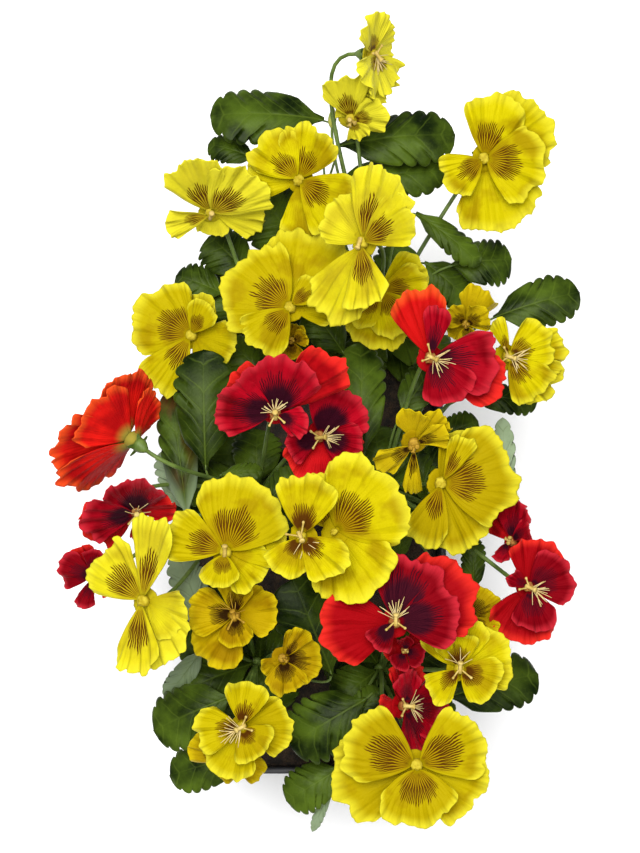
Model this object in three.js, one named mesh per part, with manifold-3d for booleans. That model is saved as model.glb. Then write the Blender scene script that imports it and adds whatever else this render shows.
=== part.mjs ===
// A balcony planter filled with soil, with six pansy plants in bloom.
// Millimetres, +Z up. The origin is the middle of the planter's underside,
// X runs across the planter and Y along it, away from the near end.

import * as THREE from 'three';
import { mergeVertices } from 'three/addons/utils/BufferGeometryUtils.js';
import Module from 'manifold-3d';

// The planter: a tapered plastic trough with rounded corners and a thin rim.
const RIM_WIDTH = 180;
const RIM_LENGTH = 368;
const HEIGHT = 160;
const RIM_OVERHANG = 2;
const RIM_DEPTH = 6;
const TAPER = 18;
const WALL = 2.4;
const FLOOR = 3;
const CORNER_RADIUS = 28;
const CORNER_SIDES = 4;
const DRAIN_RADIUS = 5;
const DRAIN_SIDES = 8;
const DRAIN_SPOTS = [[-45, -110], [45, -110], [-45, 110], [45, 110]];

// The soil stops a little under the rim, and its surface is crumbly.
const SOIL_TOP = 146;
const SOIL_BUMP = 2.5;
const SOIL_WAVES = [[0.11, 0.043, 0], [-0.06, 0.071, 1.3]];
const SOIL_CELLS = [5, 9];
const GAP = 0.3;

// Each plant has a short main stem that stands in a plain hole in the soil.
const MAIN_STEM_RADIUS = 5;
const MAIN_STEM_SIDES = 6;
const MAIN_STEM_FOOT = 104;
const MAIN_STEM_TOP = 188;
const PLANTS = {
  a: [-40, 122],
  b: [42, 124],
  c: [-42, 6],
  d: [44, 8],
  e: [-40, -112],
  f: [42, -116],
};

// Flower stems and leaf stalks leave the main stem at a few heights. A bend is the share
// of the way at which a stem turns, how far it has risen there, and its straight end.
const FLOWER_STEM_RADIUS = 1.5;
const LEAF_STALK_RADIUS = 1.1;
const ROOT_INSET = 1.5;
const FLOWER_ROOTS = { lowest: 163, step: 6, count: 4 };
const LEAF_ROOTS = { lowest: 164, step: 5, count: 5 };
const BUD_ROOT = 178;
const FLOWER_BEND = { turn: 0.3, rise: 0.45, end: 0.3 };
const LEAF_BEND = { turn: 0.35, rise: 0.3, end: 0.25 };
const BUD_BEND = { turn: 0.3, rise: 0.4 };
const STEM_SIDES = 3;
const STEM_STEPS = 3;
const STALK_STEPS = 2;

// A blade: its teeth, as places along it (tooth, notch, tooth and so on), its outline's
// fullness and the powers that shape its two ends, and how it arches and droops.
const LEAF_THICKNESS = 0.8;
const LARGE_LEAF = 42;
const LARGE_TEETH = [0, 0.32, 0.48, 0.74, 1];
const SMALL_TEETH = [0, 0.4, 0.8, 1];
const LEAF_NECK = 0.28;
const LEAF_FULLNESS = 0.73;
const LEAF_ENDS = [0.65, 4];
const LEAF_NOTCH = 0.78;
const LEAF_ARCH = 0.3;
const LEAF_DROOP = 0.22;
const STALK_UNDER_BLADE = { length: 4, rise: 0.6 };

// Round its main stem every plant has rings of leaves, by rule: a low rosette over the
// soil, and a higher ring that droops. Those on the outer side reach over the rim.
const RINGS = [
  { leaves: 5, base: 2, inward: 36, outward: 60, foot: 156, tip: 167, width: 36, arch: 0.3,
    turn: 14, rows: [0, 0.34, 0.8, 1] },
  { leaves: 4, base: 3, inward: 40, outward: 66, foot: 182, tip: 184, width: 36, arch: 0.6,
    turn: 50, rows: [0, 0.28, 0.66, 1] },
];
const RING_SPREAD = { angle: 9, reach: 0.1, height: 5 };
const PLANT_TURN = 17;
const OUTER_SIDE = 0.3;
const SEED = 7;
const SEED_STEPS = { ring: 31, plant: 7, reach: 0.3, height: 0.6 };
const SCATTER = [12.9898, 43758.5453];

// The flower's heart, as radius and height along its axis, and the green cup behind it.
const HEART_FOOT = -3;
const HEART_PROFILE = [[0, HEART_FOOT], [4.6, HEART_FOOT], [2.4, 8.5], [0, 9.5]];
const HEART_SIDES = 4;
const CUP_DEPTH = 8;
const CUP_RADIUS = 5.2;
const CUP_FOOT_RADIUS = 1.9;

// A flower has a front layer of marked petals and a back layer of plain ones.
const FRONT = { lift: 2.4, step: 1.5, cup: 15, ruffle: 1.6 };
const BACK = { lift: -0.2, step: 1.1, cup: 7, ruffle: 1.8 };
const PETAL_THICKNESS = 0.9;
const PETAL_SHOULDER = 0.26;
const SHOULDER_POWER = 2.6;
const PETAL_FOOT = 1.6;
const PETAL_LEVELLING = 0.35;
const RUFFLE_TURNS = { across: 4.2, around: 0.05 };
const LARGE_PETAL = 47;
const SMALL_PETAL = 34;

// All flowers turn towards the light, which stands high over the near end.
const LIGHT = new THREE.Vector3(2, -256, 1252);

const COLOURS = {
  planter: '#1f1f22',
  soil: '#2b211a',
  green: '#33601f',
  lemon: '#ead70a',
  golden: '#d6a30c',
  crimson: '#a70d20',
  scarlet: '#d8260f',
};

// Each flower: its plant, the place of its heart, how far it leans from the light
// (direction and angle, in degrees), and its petals as direction, reach and half-angle.
const BLOOMS = [
  { name: 'yellow_bloom_01', plant: 'b', at: [35, 274, 300], lean: [-5, 55], colour: 'lemon',
    front: [[112, 29, 44], [-48, 29, 40], [-135, 28, 44]], back: [[-62, 34, 36], [30, 27, 40]] },
  { name: 'yellow_bloom_02', plant: 'b', at: [23, 243, 272], lean: [-90, 30], colour: 'lemon',
    front: [[100, 36, 34], [18, 25, 46], [-55, 14, 50]], back: [[70, 22, 36], [165, 11, 40]] },
  { name: 'yellow_bloom_03', plant: 'b', at: [112, 214, 268], lean: [0, 5], colour: 'lemon',
    front: [[78, 42, 38], [-10, 40, 52], [212, 31, 40]], back: [[36, 50, 45], [-72, 50, 46]] },
  { name: 'yellow_bloom_04', plant: 'a', at: [-11, 195, 275], lean: [180, 15], colour: 'lemon',
    front: [[72, 37, 45], [130, 37, 40], [-32, 43, 40]], back: [[-76, 38, 40], [165, 36, 42]] },
  { name: 'yellow_bloom_05', plant: 'a', at: [-72, 184, 250], lean: [-90, 32], colour: 'lemon',
    front: [[108, 47, 34], [50, 44, 42], [-172, 31, 26]], back: [[2, 37, 40], [-80, 19, 78]] },
  { name: 'yellow_bloom_06', plant: 'a', at: [-17, 109, 262], lean: [120, 20], colour: 'lemon',
    front: [[150, 46, 58], [-128, 37, 38], [35, 25, 34]], back: [[68, 48, 50], [8, 32, 40]] },
  { name: 'yellow_bloom_07', plant: 'b', at: [30, 135, 312], lean: [180, 28], colour: 'lemon',
    front: [[62, 50, 34], [26, 44, 30], [-76, 43, 28]], back: [[-116, 53, 32], [118, 30, 36]] },
  { name: 'yellow_bloom_08', plant: 'b', at: [42, 123, 262], lean: [-60, 10], colour: 'lemon',
    front: [[0, 30, 48], [-65, 30, 45], [-135, 28, 40]], back: [[24, 32, 42], [-86, 40, 52]] },
  { name: 'yellow_bloom_09', plant: 'a', at: [-83, 98, 240], lean: [170, 20], colour: 'lemon',
    front: [[148, 40, 58], [-122, 43, 30], [54, 25, 36]], back: [[-30, 32, 54], [78, 28, 36]] },
  { name: 'red_bloom_01', plant: 'c', at: [-26, 31, 288], lean: [-90, 25], colour: 'crimson',
    front: [[84, 41, 52], [162, 38, 42], [-18, 20, 40]], back: [[44, 55, 26], [136, 36, 34]] },
  { name: 'red_bloom_02', plant: 'c', at: [1, 22, 262], lean: [-45, 12], colour: 'crimson',
    front: [[56, 35, 52], [-15, 28, 42], [-168, 23, 42]], back: [[-104, 28, 60], [-48, 32, 50]] },
  { name: 'red_bloom_03', plant: 'd', at: [72, 67, 285], lean: [20, 12], colour: 'crimson',
    front: [[-6, 42, 38], [-62, 32, 44], [85, 32, 20]], back: [[104, 45, 30], [-22, 50, 26]] },
  { name: 'yellow_bloom_10', plant: 'b', at: [100, 104, 250], lean: [-120, 25], colour: 'golden',
    front: [[145, 16, 50], [-80, 13, 50], [35, 19, 45]], back: [[64, 27, 36], [-160, 17, 50]] },
  { name: 'yellow_bloom_11', plant: 'd', at: [124, 77, 258], lean: [0, 20], colour: 'lemon',
    front: [[28, 31, 42], [-52, 33, 40], [114, 26, 16]], back: [[10, 40, 30], [-36, 40, 32]] },
  { name: 'yellow_bloom_12', plant: 'd', at: [62, 16, 270], lean: [-90, 35], colour: 'golden',
    front: [[30, 25, 28], [-152, 28, 28], [-93, 33, 14]], back: [[48, 29, 30], [92, 25, 34]] },
  { name: 'yellow_bloom_13', plant: 'd', at: [78, -10, 265], lean: [10, 18], colour: 'lemon',
    front: [[10, 47, 58], [-112, 43, 26], [64, 32, 20]], back: [[-70, 45, 38], [48, 37, 42]] },
  { name: 'yellow_bloom_14', plant: 'd', at: [11, -49, 300], lean: [175, 12], colour: 'lemon',
    front: [[80, 37, 40], [-118, 26, 40], [-40, 34, 36]],
    back: [[42, 49, 56], [-62, 43, 52], [122, 39, 34]], shift: [-18, -3, 9] },
  { name: 'yellow_bloom_15', plant: 'c', at: [-56, -57, 275], lean: [150, 12], colour: 'lemon',
    front: [[66, 47, 54], [160, 38, 34], [-100, 22, 46]], back: [[22, 39, 42], [-36, 29, 46]] },
  { name: 'yellow_bloom_16', plant: 'c', at: [-107, -85, 262], lean: [180, 30], colour: 'lemon',
    front: [[136, 42, 36], [72, 53, 20], [-88, 44, 26]], back: [[-25, 32, 40], [-58, 42, 36]] },
  { name: 'red_bloom_04', plant: 'c', at: [-117, 18, 264], lean: [142, 122], colour: 'scarlet', cup: 32,
    front: [[322, 38, 40], [262, 47, 40], [22, 40, 40]], back: [[217, 50, 34], [67, 34, 34]] },
  { name: 'red_bloom_05', plant: 'c', at: [-117, -21, 238], lean: [-90, 40], colour: 'crimson',
    front: [[96, 32, 52], [180, 35, 38], [-82, 19, 26]], back: [[8, 25, 36], [205, 38, 40]] },
  { name: 'red_bloom_06', plant: 'c', at: [-145, -60, 215], lean: [200, 30], colour: 'crimson',
    front: [[165, 24, 42], [-108, 21, 24], [75, 20, 28]], back: [[125, 22, 36], [-40, 16, 40]] },
  { name: 'yellow_bloom_17', plant: 'e', at: [-51, -92, 250], lean: [-160, 12], colour: 'golden',
    front: [[174, 28, 42], [84, 25, 36], [-80, 19, 52]], back: [[10, 27, 50], [-122, 35, 42]] },
  { name: 'yellow_bloom_18', plant: 'e', at: [-22, -117, 238], lean: [-40, 15], colour: 'golden',
    front: [[-4, 24, 44], [-84, 22, 50], [58, 22, 22]], back: [[52, 20, 34], [-140, 16, 38]] },
  { name: 'yellow_bloom_19', plant: 'e', at: [-46, -161, 245], lean: [200, 10], colour: 'lemon',
    front: [[184, 29, 40], [80, 30, 36], [-48, 22, 55]], back: [[4, 32, 46], [-112, 33, 42]] },
  { name: 'yellow_bloom_20', plant: 'e', at: [-55, -177, 212], lean: [-90, 20], colour: 'golden',
    front: [[158, 27, 28], [-20, 22, 30], [-90, 13, 40]], back: [[40, 22, 40], [-150, 14, 36]] },
  { name: 'red_bloom_07', plant: 'f', at: [47, -103, 288], lean: [60, 15], colour: 'crimson',
    front: [[72, 40, 44], [6, 38, 42], [-130, 23, 30]], back: [[30, 53, 42], [186, 44, 44]] },
  { name: 'yellow_bloom_21', plant: 'f', at: [94, -93, 245], lean: [40, 20], colour: 'golden',
    front: [[40, 23, 48], [-50, 21, 44], [132, 19, 40]], back: [[6, 24, 42], [84, 18, 42]] },
  { name: 'yellow_bloom_22', plant: 'f', at: [87, -128, 268], lean: [20, 10], colour: 'lemon',
    front: [[98, 23, 46], [-30, 26, 50], [-138, 26, 32]], back: [[98, 33, 54], [22, 34, 50]] },
  { name: 'red_bloom_08', plant: 'f', at: [53, -148, 243], lean: [0, 38], colour: 'crimson',
    front: [[-8, 27, 54], [-74, 29, 38], [97, 22, 38]], back: [[84, 27, 40], [190, 20, 40]] },
  { name: 'yellow_bloom_23', plant: 'f', at: [61, -185, 258], lean: [-90, 6], colour: 'lemon',
    front: [[26, 44, 40], [156, 45, 40], [-88, 36, 56]], back: [[-22, 45, 44], [194, 51, 40]] },
  { name: 'yellow_bloom_24', plant: 'a', at: [-17, 96, 238], lean: [-100, 15], colour: 'golden',
    front: [[-90, 13, 50], [20, 11, 45], [150, 11, 45]], back: [[60, 12, 40], [-150, 12, 40]] },
  { name: 'red_bloom_11', plant: 'f', at: [54, -115, 262], lean: [-60, 20], colour: 'crimson',
    front: [[-20, 13, 50], [-120, 12, 45], [90, 10, 40]], back: [[30, 14, 45], [170, 13, 45]] },
  { name: 'red_bloom_09', plant: 'd', at: [127, -43, 240], lean: [160, 35], colour: 'crimson',
    front: [[78, 26, 40], [26, 19, 28], [-115, 15, 36]], back: [[132, 24, 28], [-60, 15, 40]] },
  { name: 'red_bloom_10', plant: 'd', at: [133, -75, 255], lean: [-10, 12], colour: 'crimson',
    front: [[24, 28, 54], [-82, 28, 42], [150, 16, 28]], back: [[72, 30, 48], [-100, 35, 52]] },
];

// Each closed bud: its plant, its foot and its tip.
const BUDS = [
  { plant: 'b', base: [10, 243, 256], tip: [11, 254, 264] },
];
const BUD_PROFILE = [[0, -0.1], [2.6, 0.15], [3, 0.5], [1.5, 0.9], [0, 1]];

// Each leaf: its plant, where the blade starts and ends, and its width.
const LEAVES = [
  ['a', [5, 261, 232], [-75, 262, 236], 45],
  ['a', [-43, 236, 222], [-77, 247, 222], 23],
  ['b', [14, 238, 238], [96, 245, 240], 42],
  ['b', [10, 216, 222], [90, 224, 226], 34],
  ['a', [-10, 170, 212], [-42, 205, 232], 54],
  ['a', [-50, 159, 200], [-76, 184, 206], 38],
  ['a', [-65, 143, 200], [-99, 155, 204], 29],
  ['c', [-73, 6, 236], [-75, 84, 252], 41],
  ['c', [-86, -22, 212], [-98, 66, 222], 27],
  ['c', [-63, 6, 225], [-36, 8, 225], 15],
  ['c', [-36, -21, 232], [-14, 7, 236], 22],
  ['d', [30, 14, 236], [29, 93, 240], 34],
  ['b', [19, 91, 220], [-6, 122, 232], 30],
  ['a', [-32, 74, 212], [-61, 102, 218], 31],
  ['b', [74, 158, 222], [104, 133, 214], 30],
  ['b', [67, 184, 246], [111, 150, 238], 21],
  ['b', [92, 153, 228], [134, 158, 226], 37],
  ['d', [119, 113, 234], [177, 129, 240], 36],
  ['d', [103, 60, 226], [148, 56, 224], 23],
  ['d', [56, 48, 222], [80, 83, 224], 28],
  ['d', [125, -26, 210], [124, 45, 226], 17],
  ['d', [102, -71, 214], [103, -36, 222], 18],
  ['d', [76, -16, 222], [64, 22, 232], 20],
  ['d', [53, -53, 224], [57, -19, 234], 17],
  ['e', [10, -125, 212], [-16, -66, 236], 45],
  ['e', [-69, -101, 205], [-92, -45, 220], 26],
  ['e', [-75, -106, 196], [-100, -138, 186], 18],
  ['e', [-55, -137, 204], [-107, -158, 190], 42],
  ['e', [-44, -172, 186], [-97, -186, 176], 33],
  ['f', [32, -140, 214], [-18, -169, 204], 44],
  ['f', [16, -182, 190], [-20, -203, 182], 32],
  ['f', [10, -191, 184], [-3, -222, 172], 9],
  ['f', [82, -140, 220], [143, -124, 214], 38],
  ['f', [21, -154, 206], [42, -134, 210], 22],
  ['c', [-86, -15, 200], [-104, 28, 206], 24],
  ['d', [78, 32, 216], [108, 44, 222], 24],
];

// Points closer than this are one.
const SAME_POINT = 1e-4;

const wasm = await Module();
wasm.setup();

const radians = THREE.MathUtils.degToRad;

function toSolid(geometry) {
  const bare = geometry.clone();
  bare.deleteAttribute('normal');
  bare.deleteAttribute('uv');
  const merged = mergeVertices(bare, SAME_POINT);
  const index = Array.from(merged.index.array);
  const triVerts = [];
  for (let i = 0; i < index.length; i += 3) {
    const [a, b, c] = index.slice(i, i + 3);
    if (a !== b && b !== c && c !== a) triVerts.push(a, b, c);
  }
  return new wasm.Manifold(new wasm.Mesh({
    numProp: 3,
    vertProperties: new Float32Array(merged.attributes.position.array),
    triVerts: new Uint32Array(triVerts),
  }));
}

function toGeometry(solid) {
  const mesh = solid.getMesh();
  const geometry = new THREE.BufferGeometry();
  geometry.setAttribute('position', new THREE.BufferAttribute(new Float32Array(mesh.vertProperties), 3));
  geometry.setIndex(new THREE.BufferAttribute(new Uint32Array(mesh.triVerts), 1));
  const flat = geometry.toNonIndexed();
  flat.computeVertexNormals();
  return flat;
}

function joined(solids) {
  return solids.reduce((sum, solid) => sum.add(solid));
}

// Largest body of a solid: what is left when loose scraps are dropped.
function mainBody(solid) {
  const bodies = solid.decompose();
  return bodies.reduce((best, body) => (body.volume() > best.volume() ? body : best));
}

// A thin closed sheet over a grid of points, with equal triangles on both faces.
function sheetSolid(point, rows, columns, thickness) {
  const across = columns.length;
  const faces = [thickness / 2, -thickness / 2].map((lift) => rows.map((s) => columns.map((t) => {
    const place = point(s, t);
    place.z += lift;
    return place;
  })));
  const positions = [];
  const push = (...points) => points.forEach((p) => positions.push(p.x, p.y, p.z));
  const [front, rear] = faces;
  for (let r = 0; r + 1 < rows.length; r += 1) {
    for (let c = 0; c + 1 < across; c += 1) {
      push(front[r][c], front[r + 1][c], front[r + 1][c + 1]);
      push(front[r][c], front[r + 1][c + 1], front[r][c + 1]);
      push(rear[r][c], rear[r + 1][c + 1], rear[r + 1][c]);
      push(rear[r][c], rear[r][c + 1], rear[r + 1][c + 1]);
    }
  }
  const rim = [];
  for (let r = 0; r < rows.length; r += 1) rim.push([r, 0]);
  for (let c = 1; c < across; c += 1) rim.push([rows.length - 1, c]);
  for (let r = rows.length - 2; r >= 0; r -= 1) rim.push([r, across - 1]);
  for (let c = across - 2; c > 0; c -= 1) rim.push([0, c]);
  rim.forEach(([r, c], i) => {
    const [nextRow, nextColumn] = rim[(i + 1) % rim.length];
    push(rear[r][c], rear[nextRow][nextColumn], front[nextRow][nextColumn]);
    push(rear[r][c], front[nextRow][nextColumn], front[r][c]);
  });
  const geometry = new THREE.BufferGeometry();
  geometry.setAttribute('position', new THREE.Float32BufferAttribute(positions, 3));
  return toSolid(geometry);
}

function roundedRectangle(width, length, radius) {
  const shape = new THREE.Shape();
  const x = width / 2;
  const y = length / 2;
  shape.moveTo(x, -y + radius);
  shape.lineTo(x, y - radius);
  shape.absarc(x - radius, y - radius, radius, 0, Math.PI / 2, false);
  shape.lineTo(-x + radius, y);
  shape.absarc(-x + radius, y - radius, radius, Math.PI / 2, Math.PI, false);
  shape.lineTo(-x, -y + radius);
  shape.absarc(-x + radius, -y + radius, radius, Math.PI, Math.PI * 1.5, false);
  shape.lineTo(x - radius, -y);
  shape.absarc(x - radius, -y + radius, radius, Math.PI * 1.5, Math.PI * 2, false);
  return shape;
}

// A straight prism from one height to another, drawn in to follow the trough's taper.
function taperedPrism(inset, bottom, top) {
  const width = RIM_WIDTH - 2 * RIM_OVERHANG - 2 * inset;
  const length = RIM_LENGTH - 2 * RIM_OVERHANG - 2 * inset;
  const outline = roundedRectangle(width, length, CORNER_RADIUS - RIM_OVERHANG - inset);
  const geometry = new THREE.ExtrudeGeometry(outline, {
    depth: top - bottom, bevelEnabled: false, curveSegments: CORNER_SIDES,
  });
  geometry.translate(0, 0, bottom);
  const position = geometry.attributes.position;
  for (let i = 0; i < position.count; i += 1) {
    const drawIn = TAPER * (1 - position.getZ(i) / HEIGHT);
    position.setX(i, position.getX(i) * (1 - (2 * drawIn) / width));
    position.setY(i, position.getY(i) * (1 - (2 * drawIn) / length));
  }
  return toSolid(geometry);
}

function upright(radius, bottom, top, sides, [x, y]) {
  const geometry = new THREE.CylinderGeometry(radius, radius, top - bottom, sides);
  geometry.rotateX(Math.PI / 2);
  geometry.translate(x, y, (top + bottom) / 2);
  return toSolid(geometry);
}

function makePlanter() {
  const rim = new THREE.ExtrudeGeometry(roundedRectangle(RIM_WIDTH, RIM_LENGTH, CORNER_RADIUS), {
    depth: RIM_DEPTH, bevelEnabled: false, curveSegments: CORNER_SIDES,
  });
  rim.translate(0, 0, HEIGHT - RIM_DEPTH);
  const outside = taperedPrism(0, 0, HEIGHT - RIM_DEPTH / 2).add(toSolid(rim));
  const inside = taperedPrism(WALL, FLOOR, HEIGHT + 1);
  const drains = DRAIN_SPOTS.map((spot) => upright(DRAIN_RADIUS, -1, FLOOR + 1, DRAIN_SIDES, spot));
  return outside.subtract(inside).subtract(joined(drains));
}

function makeSoil() {
  const [nx, ny] = SOIL_CELLS;
  const surface = new THREE.BoxGeometry(RIM_WIDTH, RIM_LENGTH, HEIGHT, nx, ny, 1);
  surface.translate(0, 0, SOIL_TOP - HEIGHT / 2);
  const position = surface.attributes.position;
  for (let i = 0; i < position.count; i += 1) {
    if (position.getZ(i) < SOIL_TOP - 1) continue;
    const x = position.getX(i);
    const y = position.getY(i);
    const bump = SOIL_WAVES.reduce((sum, [alongX, alongY, start]) => (
      sum + Math.sin(x * alongX + y * alongY + start)), 0);
    position.setZ(i, SOIL_TOP + (SOIL_BUMP * bump) / SOIL_WAVES.length);
  }
  const filling = taperedPrism(WALL + GAP, FLOOR + GAP, HEIGHT - RIM_DEPTH).intersect(toSolid(surface));
  const holeRadius = MAIN_STEM_RADIUS + GAP / Math.cos(Math.PI / MAIN_STEM_SIDES);
  const holes = Object.values(PLANTS).map((spot) => (
    upright(holeRadius, MAIN_STEM_FOOT - GAP, HEIGHT, MAIN_STEM_SIDES, spot)));
  return filling.subtract(joined(holes));
}

// The flower's own axes: x and y lie in its face, z looks out of it.
function bloomFrame(bloom) {
  const at = new THREE.Vector3(...bloom.at);
  const facing = LIGHT.clone().sub(at).normalize();
  const up = facing.clone().cross(new THREE.Vector3(1, 0, 0)).normalize();
  const right = up.clone().cross(facing);
  const [direction, angle] = bloom.lean.map(radians);
  const hinge = right.clone().multiplyScalar(-Math.sin(direction)).addScaledVector(up, Math.cos(direction));
  for (const axis of [right, up, facing]) axis.applyAxisAngle(hinge, angle);
  return new THREE.Matrix4().makeBasis(right, up, facing).setPosition(at);
}

// A petal is a fan of the reach and half-angle given. It rises from the heart as a
// shallow cup, its shoulders are rounded, and its edge is ruffled.
function petalPoint([direction, reach, half], layer, order, s, t) {
  const middle = radians(direction);
  const angle = radians(direction + half * t);
  const edge = reach * (1 - PETAL_SHOULDER * Math.abs(t) ** SHOULDER_POWER);
  const x = (1 - s) * PETAL_FOOT * Math.cos(middle) + s * edge * Math.cos(angle);
  const y = (1 - s) * PETAL_FOOT * Math.sin(middle) + s * edge * Math.sin(angle);
  const wave = Math.sin(RUFFLE_TURNS.across * t + RUFFLE_TURNS.around * direction + order) * s * s;
  const rise = s * edge * Math.tan(radians(layer.cup)) * (1 - PETAL_LEVELLING * s);
  return new THREE.Vector3(x, y, layer.lift + layer.step * order + rise + layer.ruffle * wave);
}

function petalSolid(petal, layer, order, shift) {
  const reach = petal[1];
  const rows = reach > LARGE_PETAL ? [0, 0.6, 1] : [0, 1];
  const columns = reach > SMALL_PETAL ? [-1, -0.5, 0, 0.5, 1] : [-1, -0.35, 0.35, 1];
  const point = (s, t) => petalPoint(petal, layer, order, s, t).add(shift);
  return sheetSolid(point, rows, columns, PETAL_THICKNESS);
}

function heartSolid(shift) {
  const profile = HEART_PROFILE.map(([radius, height]) => new THREE.Vector2(radius, height));
  const heart = new THREE.LatheGeometry(profile, HEART_SIDES);
  heart.rotateX(Math.PI / 2);
  if (shift.length() === 0) return toSolid(heart);
  const front = heart.clone().translate(shift.x, shift.y, shift.z);
  const link = stemSolid([new THREE.Vector3(0, 0, 0), shift.clone().multiplyScalar(0.5), shift],
    -HEART_FOOT, 1);
  return joined([toSolid(heart), toSolid(front), link]);
}

function makeBloom(bloom) {
  const shift = new THREE.Vector3(...(bloom.shift || [0, 0, 0]));
  const still = new THREE.Vector3();
  const parts = [heartSolid(shift)];
  const front = { ...FRONT, cup: bloom.cup || FRONT.cup };
  const back = { ...BACK, cup: bloom.cup || BACK.cup };
  bloom.front.forEach((petal, order) => parts.push(petalSolid(petal, front, order, shift)));
  bloom.back.forEach((petal, order) => parts.push(petalSolid(petal, back, -order, still)));
  return mainBody(joined(parts)).transform(bloomFrame(bloom).elements);
}

function stemSolid(points, radius, steps) {
  const section = new THREE.Shape();
  for (let i = 0; i < STEM_SIDES; i += 1) {
    const angle = (2 * Math.PI * i) / STEM_SIDES;
    const [x, y] = [radius * Math.cos(angle), radius * Math.sin(angle)];
    if (i === 0) section.moveTo(x, y);
    else section.lineTo(x, y);
  }
  const path = points.length === 4
    ? new THREE.CubicBezierCurve3(...points)
    : new THREE.CatmullRomCurve3(points);
  return toSolid(new THREE.ExtrudeGeometry(section, { steps, bevelEnabled: false, extrudePath: path }));
}

// Where a stem leaves its plant's main stem, on the side that looks at its goal.
function stemRoot(plant, goal, height) {
  const [x, y] = PLANTS[plant];
  const side = new THREE.Vector3(goal.x - x, goal.y - y, 0).normalize();
  return new THREE.Vector3(x, y, height).addScaledVector(side, ROOT_INSET);
}

// Where a stem turns from its rise towards its end.
function bendPoint(root, end, bend) {
  return root.clone().lerp(end, bend.turn).setZ(root.z + bend.rise * root.distanceTo(end));
}

// A flower's stem rises from the plant, passes behind the flower and hooks into its cup.
function flowerStem(bloom, order) {
  const frame = bloomFrame(bloom);
  const behind = (distance) => new THREE.Vector3(0, 0, -distance).applyMatrix4(frame);
  const end = behind(CUP_DEPTH + 1);
  const height = FLOWER_ROOTS.lowest + FLOWER_ROOTS.step * (order % FLOWER_ROOTS.count);
  const root = stemRoot(bloom.plant, end, height);
  const reach = root.distanceTo(end);
  const rise = bendPoint(root, end, FLOWER_BEND);
  const approach = behind(CUP_DEPTH + FLOWER_BEND.end * reach);
  const stem = stemSolid([root, rise, approach, end], FLOWER_STEM_RADIUS, STEM_STEPS);
  const cup = new THREE.CylinderGeometry(CUP_RADIUS, CUP_FOOT_RADIUS, CUP_DEPTH, HEART_SIDES);
  cup.rotateX(Math.PI / 2);
  cup.translate(0, 0, HEART_FOOT - GAP - CUP_DEPTH / 2);
  return stem.add(toSolid(cup.applyMatrix4(frame)));
}

// Half the blade's width along its length, with rounded teeth cut into the edge.
function leafHalfWidth(s, width, tooth) {
  const [base, tip] = LEAF_ENDS;
  const outline = s ** base * Math.sqrt(Math.max(0, 1 - s ** tip));
  return LEAF_FULLNESS * width * outline * (tooth ? 1 : LEAF_NOTCH);
}

// A blade between two points, arched along its midrib and drooping at its sides.
// The rows are the places of the teeth and of the notches between them.
function leafBlade(base, tip, width, rows, arch) {
  const along = tip.clone().sub(base);
  const length = along.length();
  along.normalize();
  const across = new THREE.Vector3(0, 0, 1).cross(along).normalize();
  const normal = along.clone().cross(across);
  const frame = new THREE.Matrix4().makeBasis(along, across, normal).setPosition(base);
  const point = (s, t) => {
    const half = s <= LEAF_NECK ? LEAF_STALK_RADIUS : leafHalfWidth(s, width, rows.indexOf(s) % 2 === 1);
    const height = arch * length * s * (1 - s) - LEAF_DROOP * half * t * t;
    return new THREE.Vector3(s * length, s === 1 ? 0 : t * half, height);
  };
  return sheetSolid(point, rows, [-1, 0, 1], LEAF_THICKNESS).transform(frame.elements);
}

function makeLeaf([plant, basePoint, tipPoint, width], order) {
  const base = new THREE.Vector3(...basePoint);
  const tip = new THREE.Vector3(...tipPoint);
  const along = tip.clone().sub(base).normalize();
  const root = stemRoot(plant, base, LEAF_ROOTS.lowest + LEAF_ROOTS.step * (order % LEAF_ROOTS.count));
  const rise = bendPoint(root, base, LEAF_BEND);
  const approach = base.clone().addScaledVector(along, -LEAF_BEND.end * root.distanceTo(base));
  const end = base.clone().addScaledVector(along, STALK_UNDER_BLADE.length);
  end.z += STALK_UNDER_BLADE.rise;
  const stalk = stemSolid([root, rise, approach, end], LEAF_STALK_RADIUS, STALK_STEPS);
  const rows = base.distanceTo(tip) > LARGE_LEAF ? LARGE_TEETH : SMALL_TEETH;
  return stalk.add(leafBlade(base, tip, width, rows, LEAF_ARCH));
}

// A number between -1 and 1 that is always the same for the same seed.
function draw(seed) {
  const noise = Math.sin((seed + SEED) * SCATTER[0]) * SCATTER[1];
  return 2 * (noise - Math.floor(noise)) - 1;
}

// A leaf of a ring grows straight from the main stem.
function ringLeaf(plant, ring, order) {
  const number = Object.keys(PLANTS).indexOf(plant);
  const seed = SEED_STEPS.ring * RINGS.indexOf(ring) + SEED_STEPS.plant * number + order;
  const step = 360 / ring.leaves;
  const turn = ring.turn + PLANT_TURN * number + step * order;
  const angle = radians(turn + RING_SPREAD.angle * draw(seed));
  const [x, y] = PLANTS[plant];
  const outward = Math.cos(angle) * Math.sign(x) > OUTER_SIDE;
  const stretch = 1 + RING_SPREAD.reach * draw(seed + SEED_STEPS.reach);
  const reach = (outward ? ring.outward : ring.inward) * stretch;
  const at = (radius, z) => new THREE.Vector3(x + radius * Math.cos(angle), y + radius * Math.sin(angle), z);
  const tip = at(reach, ring.tip + RING_SPREAD.height * draw(seed + SEED_STEPS.height));
  return leafBlade(at(ring.base, ring.foot), tip, ring.width, ring.rows, ring.arch);
}

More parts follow.
